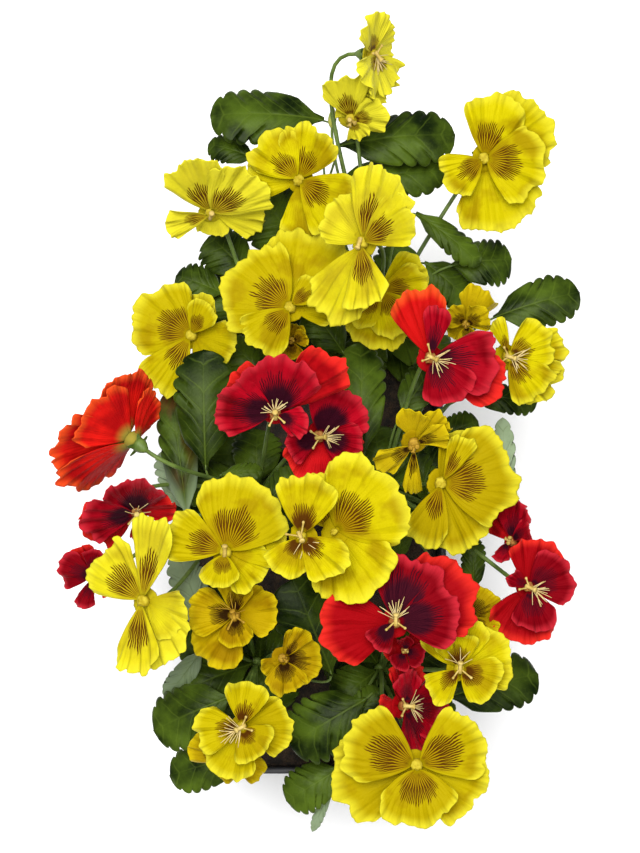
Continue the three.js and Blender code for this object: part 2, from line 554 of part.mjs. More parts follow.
// A closed bud on its own stem.
function makeBud({ plant, base, tip }) {
  const foot = new THREE.Vector3(...base);
  const along = new THREE.Vector3(...tip).sub(foot);
  const length = along.length();
  along.normalize();
  const profile = BUD_PROFILE.map(([radius, height]) => new THREE.Vector2(radius, height * length));
  const bud = new THREE.LatheGeometry(profile, HEART_SIDES);
  bud.applyQuaternion(new THREE.Quaternion().setFromUnitVectors(new THREE.Vector3(0, 1, 0), along));
  bud.translate(foot.x, foot.y, foot.z);
  const root = stemRoot(plant, foot, BUD_ROOT);
  const rise = bendPoint(root, foot, BUD_BEND);
  const approach = foot.clone().addScaledVector(along, -2 * length);
  const end = foot.clone().addScaledVector(along, 0.2 * length);
  return stemSolid([root, rise, approach, end], LEAF_STALK_RADIUS, STEM_STEPS).add(toSolid(bud));
}

function makePlant(key) {
  const parts = [upright(MAIN_STEM_RADIUS, MAIN_STEM_FOOT, MAIN_STEM_TOP, MAIN_STEM_SIDES, PLANTS[key])];
  BLOOMS.filter((bloom) => bloom.plant === key)
    .forEach((bloom, order) => parts.push(flowerStem(bloom, order)));
  LEAVES.filter((leaf) => leaf[0] === key)
    .forEach((leaf, order) => parts.push(makeLeaf(leaf, order)));
  BUDS.filter((bud) => bud.plant === key).forEach((bud) => parts.push(makeBud(bud)));
  for (const ring of RINGS) {
    for (let order = 0; order < ring.leaves; order += 1) parts.push(ringLeaf(key, ring, order));
  }
  return mainBody(joined(parts));
}

const planterAndPansies = new THREE.Group();

function addPiece(name, solid, colour, roughness) {
  const material = new THREE.MeshStandardMaterial({ color: COLOURS[colour], roughness, metalness: 0 });
  const mesh = new THREE.Mesh(toGeometry(solid), material);
  mesh.name = name;
  planterAndPansies.add(mesh);
}

addPiece('planter', makePlanter(), 'planter', 0.45);
addPiece('soil', makeSoil(), 'soil', 0.95);
for (const key of Object.keys(PLANTS)) addPiece(`leafy_stems_${key}`, makePlant(key), 'green', 0.55);
for (const bloom of BLOOMS) addPiece(bloom.name, makeBloom(bloom), bloom.colour, 0.6);

export default planterAndPansies;
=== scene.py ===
# %% [markdown]
# # Dressing a potted pansy planter
# The part is a dark plastic trough of soil with six pansy plants in bloom. The CAD model
# holds every flower, leafy stem and the trough as a plain faceted solid, and it is loaded
# here as a fixed frame. Each solid is then replaced by a finer piece of the same form,
# so that weight and collision stay right while the eye gets petals, veins and whiskers.

# %% Load the frame
import math
import random
from collections import Counter

import bpy
from mathutils import Matrix, Vector, noise


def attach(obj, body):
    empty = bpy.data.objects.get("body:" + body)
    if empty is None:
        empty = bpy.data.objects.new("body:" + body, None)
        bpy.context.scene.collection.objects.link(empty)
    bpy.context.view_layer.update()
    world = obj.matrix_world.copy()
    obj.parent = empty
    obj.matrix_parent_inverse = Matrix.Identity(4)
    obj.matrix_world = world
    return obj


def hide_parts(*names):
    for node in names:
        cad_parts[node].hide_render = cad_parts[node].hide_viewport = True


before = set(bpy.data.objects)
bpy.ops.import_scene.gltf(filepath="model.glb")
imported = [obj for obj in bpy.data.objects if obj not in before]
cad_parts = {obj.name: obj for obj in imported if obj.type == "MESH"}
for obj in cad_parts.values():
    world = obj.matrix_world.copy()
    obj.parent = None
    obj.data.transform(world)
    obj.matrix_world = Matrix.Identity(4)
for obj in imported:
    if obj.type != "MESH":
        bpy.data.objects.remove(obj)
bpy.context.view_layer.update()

# %% [markdown]
# All sizes below are in millimetres, as a maker would read them off a drawing, and are
# turned into Blender's metres only when a mesh is made. The sizes of the trough, the
# places of the plants and the tables of flowers and leaves are those of the CAD model.

# %% Sizes of the trough and of the plants
MM = 0.001
RIM_WIDTH = 180
RIM_LENGTH = 368
HEIGHT = 160
TAPER = 18
CORNER_RADIUS = 28
DRAIN_SPOTS = [(-45, -110), (45, -110), (-45, 110), (45, 110)]
SOIL_TOP = 146
PLANTS = {"a": (-40, 122), "b": (42, 124), "c": (-42, 6),
          "d": (44, 8), "e": (-40, -112), "f": (42, -116)}
LOWEST_ROOT = 163
FACED_POINT = Vector((2, -256, 1252))
print("plants:", len(PLANTS))

# %% [markdown]
# ## The camera
# The photograph looks down on the trough, tilted 16 degrees from straight down towards
# the near end. The focal length comes from how the trough's two long edges draw together.

# %% Camera
CAMERA_PLACE = Vector((2, -255.5, 1252))
CAMERA_TILT = 16
FOCAL_LENGTH = 67.5
FARTHEST_SEEN = 20


def in_scene(name, data):
    """A new object that holds the data, linked to the scene."""
    thing = bpy.data.objects.new(name, data)
    bpy.context.scene.collection.objects.link(thing)
    return thing


lens = bpy.data.cameras.new("camera")
lens.lens = FOCAL_LENGTH
lens.clip_end = FARTHEST_SEEN
camera = in_scene("camera", lens)
camera.location = CAMERA_PLACE * MM
camera.rotation_euler = (math.radians(CAMERA_TILT), 0, 0)
bpy.context.scene.camera = camera
print("camera at", [round(v, 3) for v in camera.location])

# %% [markdown]
# ## Materials from nodes
# Every finish is a small graph of nodes. `Finish` adds a node, links what goes into it,
# and hands back its output as a `Number`. Numbers add, subtract, multiply and divide, each
# by a Math node of its own, so that a finish can be read as a formula.


# %% Helpers for node graphs
class Number:
    """The output of a node, for use in formulas and as the input of other nodes."""

    def __init__(self, finish, socket):
        self.finish, self.socket = finish, socket

    def __add__(self, other):
        return self.finish.math("ADD", self, other)

    def __sub__(self, other):
        return self.finish.math("SUBTRACT", self, other)

    def __rsub__(self, other):
        return self.finish.math("SUBTRACT", other, self)

    def __mul__(self, other):
        return self.finish.math("MULTIPLY", self, other)

    def __truediv__(self, other):
        return self.finish.math("DIVIDE", self, other)

    def __abs__(self):
        return self.finish.math("ABSOLUTE", self)


class Finish:
    """One material: its Principled shader and short calls that add nodes."""

    def __init__(self, name):
        self.material = bpy.data.materials.new(name)
        self.material.use_nodes = True
        self.nodes = self.material.node_tree.nodes
        self.links = self.material.node_tree.links
        self.shader = self.nodes["Principled BSDF"]

    def put(self, socket, value):
        if isinstance(value, Number):
            self.links.new(value.socket, socket)
        else:
            socket.default_value = (*value, 1.0) if socket.type == "RGBA" else value

    def node(self, kind, output, inputs, **settings):
        """Adds a node with its settings, fills its inputs and gives back one output."""
        node = self.nodes.new("ShaderNode" + kind)
        for name, setting in settings.items():
            setattr(node, name, setting)
        for name, value in inputs.items():
            self.put(node.inputs[name], value)
        return Number(self, node.outputs[output])

    def math(self, operation, first, second=0.0, clamp=False):
        return self.node("Math", 0, {0: first, 1: second}, operation=operation, use_clamp=clamp)

    def larger(self, first, second):
        return self.math("MAXIMUM", first, second)

    def ease(self, value, low, high, start=0.0, end=1.0):
        """start where value is at low, end where it is at high, and smooth between."""
        inputs = {"Value": value, "From Min": low, "From Max": high, "To Min": start, "To Max": end}
        return self.node("MapRange", "Result", inputs, interpolation_type="SMOOTHSTEP")

    def mix(self, factor, first, second):
        inputs = {"Factor": factor, "A": first, "B": second}
        return self.node("Mix", "Result", inputs, data_type="RGBA")

    def split(self, attribute):
        """The three numbers of a vector that is kept on the mesh's points."""
        vector = self.node("Attribute", "Vector", {}, attribute_name=attribute)
        node = self.nodes.new("ShaderNodeSeparateXYZ")
        self.put(node.inputs[0], vector)
        return [Number(self, output) for output in node.outputs]

    def noise(self, scale, detail, stretch=None):
        place = self.node("TexCoord", "Object", {})
        if stretch:
            place = self.node("Mapping", "Vector", {"Scale": stretch, "Vector": place})
        return self.node("TexNoise", "Fac", {"Scale": scale, "Detail": detail, "Vector": place})

    def chance(self, value):
        """A random number from 0 to 1 that stays the same for the same value."""
        return self.node("TexWhiteNoise", "Value", {"W": value}, noise_dimensions="1D")

    def bump(self, height, depth, strength):
        inputs = {"Strength": strength, "Distance": depth, "Height": height}
        self.put(self.shader.inputs["Normal"], self.node("Bump", "Normal", inputs))

    def set(self, **values):
        for name, value in values.items():
            self.put(self.shader.inputs[name.replace("_", " ")], value)
        return self.material


print("helpers ready:", Number.__name__, Finish.__name__)

# %% [markdown]
# ## The petals' finish
# The petals are satin cloth. On the front ones a fan of fine brown lines is printed,
# which starts at the heart and runs out over half of the petal. Each point of a petal
# carries how far across (-1 to 1) and how far out (0 to 1) it lies, and how far out its
# lines run, which is 0 on a plain petal and -1 on an underside. The angle across is cut
# into stripes, and a stripe is inked only near its middle, less and less towards its own
# random end. Near the heart of some flowers the lines run together into a patch.


# %% The fan of lines
LINES_PER_RADIAN = 9.5
LINE_WOBBLE = 0.8
FORK_STARTS, FORK_ENDS, FORK_WIDTH = 0.16, 0.46, 0.25
SIDE_LOSS = 0.45
SHORTEST_LINE, LINE_SPREAD = 0.80, 0.22
STAIN_BETWEEN_LINES = 0.42


def fan_of_lines(finish, across, out, mark, half_angle, seed, dense, line_width, blotch):
    """How much ink and how much stain lies at each place, and the stripe's number."""
    ease = finish.ease
    wobble = (finish.noise(190.0, 2.0) - 0.5) * LINE_WOBBLE
    stripe = across * half_angle * LINES_PER_RADIAN + wobble + seed
    draw = finish.chance(finish.math("FLOOR", stripe))
    off_line = abs(finish.math("FRACT", stripe) - 0.5)
    off_line = abs(off_line - ease(out, FORK_STARTS, FORK_ENDS, 0.0, FORK_WIDTH))
    side_share = 1.0 - across * across * SIDE_LOSS
    wide = finish.math("MINIMUM", dense * 0.14 + blotch * 0.35, 0.22)
    printed = ease(abs(across), wide + 0.60, wide + 0.86, 1.0, 0.0) * ease(out, 0.05, 0.14)
    gone = out / ((draw * LINE_SPREAD + SHORTEST_LINE) * side_share * finish.larger(mark, 0.001))
    taper = finish.math("POWER", finish.math("SUBTRACT", 1.0, gone, clamp=True), 0.4)
    width = taper * line_width * ease(out, 0.1, 0.4, 0.6, 1.0)
    lines = ease(off_line, width * 0.75, width * 1.2 + 0.02, 1.0, 0.0)
    lines = lines * ease(gone, 0.9, 1.0, 1.0, 0.0)
    patch_end = (dense * 0.4 + blotch) * mark * side_share
    ragged = out + (draw - 0.5) * 0.07
    patch = ease(ragged, patch_end * 0.75, patch_end + 0.05, 1.0, 0.0) * ease(mark, 0.0, 0.1)
    stained = ease(gone, 0.55, 1.0, STAIN_BETWEEN_LINES, 0.0) * printed
    return finish.larger(lines, patch) * printed, stained, stripe


print("lines per radian:", LINES_PER_RADIAN)

# %% [markdown]
# One number of a petal's look holds two things: its whole part shifts the random lines,
# and its fraction holds the painted light or painted shade of its flower, for how the
# flower lies in the light. Below 0.3 the petal is painted lighter, towards its rim
# colour, and above it painted darker, towards its shade colour.

# %% Petal finishes
NEUTRAL_PAINTED_LIGHT = 0.3
GREEN_FOOT = (0.16, 0.22, 0.03)
PETAL_RELIEF = 0.00018


def petal_finish(name, base, shade, rim, stain, ink, line_width, blotch, gloss):
    finish = Finish(name)
    across, out, mark = finish.split("petal")
    half_angle, seed, dense = finish.split("petal_look")
    inked, stained, stripe = fan_of_lines(finish, across, out, mark, half_angle, seed, dense,
                                          line_width, blotch)
    cloud = finish.noise(48.0, 3.0)
    # The look's fraction is painted light (below 0.3) or painted shade (above it): the painted
    # shade joins the random clouds of the shade colour, and the painted light mixes in the rim
    # colour.
    depth = finish.math("FRACT", seed)
    painted_shade = finish.math("DIVIDE", depth - NEUTRAL_PAINTED_LIGHT, 1 - NEUTRAL_PAINTED_LIGHT, clamp=True)
    painted_light = finish.math("SUBTRACT", 1.0, depth / NEUTRAL_PAINTED_LIGHT, clamp=True)
    clouds_and_painted_shade = finish.larger(finish.ease(cloud, 0.36, 0.66), painted_shade)
    foot = finish.ease(out, 0.05, 0.5, 0.5, 0.0)
    # Towards the outer edge the petal turns to its rim colour: partly its own edge tint, partly a
    # painted highlight.
    edge = finish.ease(out, 0.80, 1.0, 0.0, 0.75)
    green = finish.math("LESS_THAN", mark, -0.5) * finish.ease(out, 0.08, 0.3, 0.8, 0.0)
    colour = base
    for share, coat in ((clouds_and_painted_shade, shade), (painted_light, rim), (foot, shade), (edge, rim),
                        (green, GREEN_FOOT), (stained, stain), (inked, ink)):
        colour = finish.mix(share, colour, coat)
    rib = finish.math("SINE", stripe * 9.0)
    weave, crumple = finish.noise(1500.0, 2.0), finish.noise(150.0, 3.0)
    finish.bump(rib * 0.6 + weave * 1.2 + crumple * 5.0, PETAL_RELIEF, 0.6)
    return finish.set(Base_Color=colour, Roughness=finish.ease(cloud, 0.2, 0.8, 0.42, 0.56),
                      Specular_IOR_Level=0.10, Specular_Tint=gloss)


YELLOW_GLOSS, RED_GLOSS = (1.0, 0.92, 0.12), (1.0, 0.10, 0.12)
# Base, shade, rim, stain and ink, then the width of the lines, the patch and the gloss.
PETAL_TONES = {
    "lemon": ((0.400, 0.342, 0.001), (0.235, 0.165, 0.0005), (0.50, 0.455, 0.020),
              (0.19, 0.082, 0.001), (0.052, 0.014, 0.001), 0.250, 0.0, YELLOW_GLOSS),
    "golden": ((0.335, 0.235, 0.001), (0.20, 0.115, 0.0006), (0.43, 0.33, 0.004),
               (0.15, 0.055, 0.001), (0.012, 0.002, 0.001), 0.250, 0.34, YELLOW_GLOSS),
    "crimson": ((0.30, 0.0018, 0.0090), (0.12, 0.0006, 0.003), (0.39, 0.016, 0.026),
                (0.07, 0.001, 0.004), (0.018, 0.002, 0.006), 0.170, 0.46, RED_GLOSS),
    "ruby": ((0.42, 0.0050, 0.0070), (0.20, 0.0014, 0.003), (0.54, 0.020, 0.012),
             (0.16, 0.001, 0.003), (0.08, 0.001, 0.003), 0.060, 0.02, RED_GLOSS),
    "scarlet": ((0.52, 0.008, 0.005), (0.27, 0.0025, 0.003), (0.60, 0.070, 0.012),
                (0.16, 0.001, 0.003), (0.08, 0.002, 0.003), 0.060, 0.02, RED_GLOSS),
}
PETALS = {name: petal_finish(name + " satin", *tones) for name, tones in PETAL_TONES.items()}
print("petal finishes:", ", ".join(PETALS))

# %% [markdown]
# ## Leaf, stem, heart, soil and trough finishes
# A leaf is dark and glossy above, with a pale net of veins and a painted highlight along
# its edge, and dull grey-green below.
# Its points carry how far across and along they lie, and 1 above or 0 below, so the
# midrib and the side veins are drawn where the mesh has its grooves. Its look is a shade,
# and how pale the leaf is: 1 is silvery, and -1 bronze. The other finishes read only the
# place in the piece: fibrous brown for soil, grained charcoal for the trough's plastic.


# %% Leaf finish
LEAF_LOBES = 5.0
LOBES_START = 0.36
LEAF_GLOSS = (0.85, 1.0, 0.6)
LEAF_RELIEF = 0.00025


def leaf_finish(name, dark, light, vein, below, silver, bronze):
    finish = Finish(name)
    ease, mix = finish.ease, finish.mix
    across, along, top = finish.split("leaf")
    shade, pale, _ = finish.split("leaf_look")
    cloud = ease(finish.noise(45.0, 4.0), 0.3, 0.72)
    distance = abs(across)
    midrib = ease(distance, 0.012, 0.05, 0.9, 0.0) * ease(along, 0.55, 0.95, 1.0, 0.25)
    drift = (finish.noise(110.0, 2.0) - 0.5) * 0.3
    lobe = (along - LOBES_START) * (LEAF_LOBES / (1 - LOBES_START)) + drift
    off_vein = abs(finish.math("FRACT", lobe) - 0.5)
    side_vein = ease(off_vein, 0.0, 0.075, 0.6, 0.0) * ease(distance, 0.55, 0.95, 1.0, 0.1)
    net = ease(finish.noise(420.0, 5.0), 0.56, 0.66, 0.0, 0.14)
    # The veins, and along the very edge a painted highlight drawn in the vein colour; the bump also
    # presses both in a little.
    veins_and_edge_highlight = midrib
    for other in (side_vein, net, ease(distance, 0.93, 1.0, 0.0, 0.4)):
        veins_and_edge_highlight = finish.larger(veins_and_edge_highlight, other)
    face = mix(veins_and_edge_highlight * 0.5, mix(cloud * shade, dark, light), vein)
    back = mix(veins_and_edge_highlight * 0.35, below, vein)
    silvery = mix(veins_and_edge_highlight * 0.6, silver, below)
    colour = mix(pale * ease(cloud, 0.0, 1.0, 1.0, 0.75), mix(top, back, face), silvery)
    bronzed = finish.math("MULTIPLY", pale, -1.0, clamp=True)
    streak = ease(finish.noise(60.0, 4.0, (1, 0.25, 1)), 0.40, 0.56) * ease(along, 0.25, 0.7)
    colour = mix(bronzed * streak, colour, bronze)
    colour = mix(bronzed * ease(along, 0.15, 0.5, 0.6, 0.0), colour, silver)
    finish.bump(finish.noise(600.0, 4.0) - veins_and_edge_highlight * 0.8, LEAF_RELIEF, 0.5)
    return finish.set(Base_Color=colour, Roughness=ease(top, 0.0, 1.0, 0.62, 0.36),
                      Specular_IOR_Level=0.09, Specular_Tint=LEAF_GLOSS)


LEAF = leaf_finish("leaf cloth", dark=(0.0022, 0.0065, 0.0003), light=(0.052, 0.086, 0.006),
                   vein=(0.080, 0.12, 0.012), below=(0.062, 0.085, 0.034),
                   silver=(0.23, 0.30, 0.18), bronze=(0.075, 0.028, 0.009))
print("leaf finish:", LEAF.name)


# %% Stem, heart, soil and plastic finishes
def mottled(name, first, second, scale, grain, depth, roughness, specular=0.5, stretch=None):
    """A finish of two colours in clouds, with a fine grain in relief."""
    finish = Finish(name)
    cloud = finish.ease(finish.noise(scale, 5.0, stretch), 0.35, 0.68)
    finish.bump(finish.noise(grain, 4.0), depth, 0.6)
    return finish.set(Base_Color=finish.mix(cloud, first, second), Specular_IOR_Level=specular,
                      Roughness=finish.ease(cloud, 0.0, 1.0, roughness, roughness + 0.12))


# Two colours, the scale of their clouds, scale and depth of the grain, roughness, gloss.
STEM = mottled("stem green", (0.050, 0.085, 0.010), (0.10, 0.15, 0.026),
               130.0, 900.0, 0.0003, 0.42, 0.25, (1, 1, 0.25))
PISTIL = mottled("pistil cream", (0.36, 0.25, 0.05), (0.50, 0.38, 0.12),
                 240.0, 1500.0, 0.0002, 0.45, 0.2)
WHISKER = mottled("whisker cream", (0.42, 0.31, 0.11), (0.53, 0.42, 0.20),
                  240.0, 1500.0, 0.0001, 0.5, 0.2)
SOIL = mottled("potting soil", (0.012, 0.008, 0.005), (0.050, 0.031, 0.018),
               160.0, 700.0, 0.0016, 0.88)
CRUMB = mottled("soil crumbs", (0.018, 0.011, 0.007), (0.075, 0.045, 0.025),
                220.0, 1200.0, 0.0008, 0.9)
PLASTIC = mottled("charcoal plastic", (0.014, 0.014, 0.016), (0.018, 0.018, 0.021),
                  90.0, 2600.0, 0.0001, 0.40)
print("plain finishes:", STEM.name, PISTIL.name, WHISKER.name, SOIL.name, CRUMB.name, PLASTIC.name)

# %% [markdown]
# ## Gathering the parts of a piece
# A flower is one piece made of petals, a heart and whiskers. `Piece` collects points in
# millimetres and faces, with a finish for each face and two vectors for each point: where
# it lies on its petal or leaf, and how that petal or leaf looks. The finishes read them.


# %% The piece builder
class Piece:
    """Points, faces and finishes of one piece, gathered part by part in millimetres."""

    def __init__(self, kind):
        self.kind = kind
        self.points, self.faces, self.finish_of, self.finishes = [], [], [], []
        self.place_on, self.look = [], []

    def add(self, points, faces, finish, place_on=None, look=(0, 0, 0)):
        start = len(self.points)
        if finish not in self.finishes:
            self.finishes.append(finish)
        self.points += [Vector(point) for point in points]
        self.place_on += place_on or [(0, 0, 0)] * len(points)
        self.look += [look] * len(points)
        self.faces += [[start + corner for corner in face] for face in faces]
        self.finish_of += [self.finishes.index(finish)] * len(faces)

    def mesh(self, name):
        mesh = bpy.data.meshes.new(name)
        mesh.from_pydata([point * MM for point in self.points], [], self.faces)
        return mesh

    def finish(self, name, slot, node):
        mesh = self.mesh(name)
        for finish in self.finishes:
            mesh.materials.append(finish)
        mesh.polygons.foreach_set("material_index", self.finish_of)
        mesh.polygons.foreach_set("use_smooth", [True] * len(self.faces))
        for label, values in ((self.kind, self.place_on), (self.kind + "_look", self.look)):
            layer = mesh.attributes.new(label, "FLOAT_VECTOR", "POINT")
            layer.data.foreach_set("vector", [number for value in values for number in value])
        flat = mesh.uv_layers.new(name="surface")
        for loop in mesh.loops:
            across, out, _ = self.place_on[loop.vertex_index]
            flat.data[loop.index].uv = (0.5 + across / 2, out)
        piece = in_scene(name, mesh)
        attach(piece, "root")
        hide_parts(node)
        return piece


print("parts are gathered by", Piece.__name__)

# %% [markdown]
# A petal or a leaf is a thin sheet with an upper face, an under face and a narrow edge
# between them. Points that fall together, as at a leaf's tip, are kept only once for each
# side, so that the sheet closes there without a seam. Where a slit folds the grid onto
# itself, two faces lie on the same corners, and both are left out.


# %% A closed sheet over a grid of points
def sheet(piece, point, rows, columns, lift, finish, look, top=1.0, under=0.0):
    """point(s, t) gives the middle of the sheet, and lift is its thickness as a vector."""
    places, spots, index = [], [], {}

    def corner(side, r, c):
        place = point(rows[r], columns[c]) + lift * (0.5 - side)
        key = (side, round(place.x, 3), round(place.y, 3), round(place.z, 3))
        if key not in index:
            index[key] = len(places)
            places.append(place)
            spots.append((columns[c], rows[r], under if side else top))
        return index[key]

    grid = [[[corner(side, r, c) for c in range(len(columns))] for r in range(len(rows))]
            for side in (0, 1)]
    last_row, last_column = len(rows) - 1, len(columns) - 1
    faces = []
    for r in range(last_row):
        for c in range(last_column):
            around = ((r, c), (r + 1, c), (r + 1, c + 1), (r, c + 1))
            faces.append([grid[0][i][j] for i, j in around])
            faces.append([grid[1][i][j] for i, j in reversed(around)])
    border = [(r, 0) for r in range(last_row)] + [(last_row, c) for c in range(last_column)]
    border += [(r, last_column) for r in range(last_row, 0, -1)]
    border += [(0, c) for c in range(last_column, 0, -1)]
    for (r, c), (r2, c2) in zip(border, border[1:] + border[:1]):
        faces.append([grid[0][r][c], grid[1][r][c], grid[1][r2][c2], grid[0][r2][c2]])
    whole = []
    for face in faces:
        corners = [v for i, v in enumerate(face) if v != face[i - 1]]
        if len(set(corners)) == len(corners) > 2:
            whole.append(corners)
    uses = Counter(frozenset(face) for face in whole)
    whole = [face for face in whole if uses[frozenset(face)] == 1]
    kept = sorted({corner for face in whole for corner in face})
    number = {corner: i for i, corner in enumerate(kept)}
    piece.add([places[i] for i in kept], [[number[i] for i in face] for face in whole], finish,
              [spots[i] for i in kept], look)


print("sheets are closed by", sheet.__name__)

# %% [markdown]
# ## Stems and whiskers with Geometry Nodes
# A stem is a round tube that follows a path, and so is a whisker of a pistil, only much
# thinner. One node tree makes both: it turns a line of points into a curve, gives each
# point its own thickness, and sweeps a circle along it. The result is read back as a
# plain mesh and joined to the piece that needs it. The soil's crumbs use the same calls.


# %% Calls that make and run a node tree
def new_tree(name, *inputs):
    """A tree from geometry to geometry, and the identifiers of its other inputs."""
    tree = bpy.data.node_groups.new(name, "GeometryNodeTree")
    sockets = [tree.interface.new_socket(label, in_out="INPUT", socket_type="NodeSocket" + kind)
               for label, kind in (("Geometry", "Geometry"), *inputs)]
    tree.interface.new_socket("Geometry", in_out="OUTPUT", socket_type="NodeSocketGeometry")
    return tree, [socket.identifier for socket in sockets[1:]]


def link_all(tree, links):
    """A link is a node and its output, then the node it leads to and the input there."""
    for source, output, target, inlet in links:
        tree.links.new(source.outputs[output], target.inputs[inlet])


def read_back(thing):
    """The object's mesh with its modifiers applied."""
    graph = bpy.context.evaluated_depsgraph_get()
    return bpy.data.meshes.new_from_object(thing.evaluated_get(graph))


def run_tree(tree, identifiers, values, mesh):
    """Runs a tree on a mesh, with a value for each of its inputs, and gives a plain mesh."""
    holder = in_scene("holder", mesh)
    modifier = holder.modifiers.new("tree", "NODES")
    modifier.node_group = tree
    for identifier, value in zip(identifiers, values):
        modifier[identifier] = value
    made = read_back(holder)
    holder.modifiers.remove(modifier)
    bpy.data.objects.remove(holder)
    return made


print("trees are run by", run_tree.__name__)


# %% Tube tree
def tube_tree():
    tree, inputs = new_tree("tubes along lines", ("Sides", "Int"), ("Thickness scale", "Float"),
                            ("Finish", "Material"))
    node = tree.nodes.new
    start, end = node("NodeGroupInput"), node("NodeGroupOutput")
    to_curve, to_mesh = node("GeometryNodeMeshToCurve"), node("GeometryNodeCurveToMesh")
    ring = node("GeometryNodeCurvePrimitiveCircle")
    own, grown = node("GeometryNodeInputNamedAttribute"), node("ShaderNodeMath")
    real, dress = node("GeometryNodeRealizeInstances"), node("GeometryNodeSetMaterial")
    own.data_type = "FLOAT"
    own.inputs["Name"].default_value = "thickness"
    grown.operation = "MULTIPLY"
    ring.inputs["Radius"].default_value = 1.0
    to_mesh.inputs["Fill Caps"].default_value = True
    link_all(tree, [
        (start, "Geometry", to_curve, "Mesh"), (to_curve, "Curve", to_mesh, "Curve"),
        (own, "Attribute", grown, 0), (start, "Thickness scale", grown, 1),
        (grown, 0, to_mesh, "Scale"), (start, "Sides", ring, "Resolution"),
        (ring, "Curve", to_mesh, "Profile Curve"), (to_mesh, "Mesh", real, "Geometry"),
        (real, "Geometry", dress, "Geometry"), (start, "Finish", dress, "Material"),
        (dress, "Geometry", end, "Geometry"),
    ])
    return tree, inputs


TUBES, TUBE_INPUTS = tube_tree()
print("tube tree inputs:", ", ".join(TUBE_INPUTS))


# %% Tubes and curves
def tubes(piece, lines, sides, finish):
    """lines: for each tube, a list of (point, radius), in millimetres."""
    points, edges, radii = [], [], []
    for line in lines:
        start = len(points)
        points += [point * MM for point, _ in line]
        radii += [radius for _, radius in line]
        edges += [(start + i, start + i + 1) for i in range(len(line) - 1)]
    mesh = bpy.data.meshes.new("tube lines")
    mesh.from_pydata(points, edges, [])
    mesh.attributes.new("thickness", "FLOAT", "POINT").data.foreach_set("value", radii)
    made = run_tree(TUBES, TUBE_INPUTS, (sides, MM, finish), mesh)
    piece.add([v.co / MM for v in made.vertices], [list(p.vertices) for p in made.polygons], finish)
    bpy.data.meshes.remove(made)


def curve(ends, steps, radius, foot=1.0, loss=0.0):
    """A line for tubes(): it leaves and reaches its ends along the two points between."""
    a, b, c, d = ends
    line = []
    for i in range(steps + 1):
        u = i / steps
        v = 1 - u
        place = a * v ** 3 + b * (3 * v * v * u) + c * (3 * v * u * u) + d * u ** 3
        line.append((place, radius * (foot - loss * i / steps)))
    return line


def eased(value, low, high):
    """0 under low, 1 over high, and smooth between."""
    share = min(1.0, max(0.0, (value - low) / (high - low)))
    return share * share * (3 - 2 * share)


def rough(x, y, z):
    """Smooth noise between -1 and 1."""
    return noise.noise(Vector((x, y, z)))


print("tubes are joined by", tubes.__name__)

# %% [markdown]
# ## The flowers
# Each flower is a row: its plant, the place of its heart, how it leans away from the
# point that all flowers face (direction and angle), its colour, its kind of heart and the
# way that points, and then its front and back petals as direction, reach and half of the
# angle they fill. In these tables y01 is the CAD node yellow_bloom_01, and r01 is
# red_bloom_01.

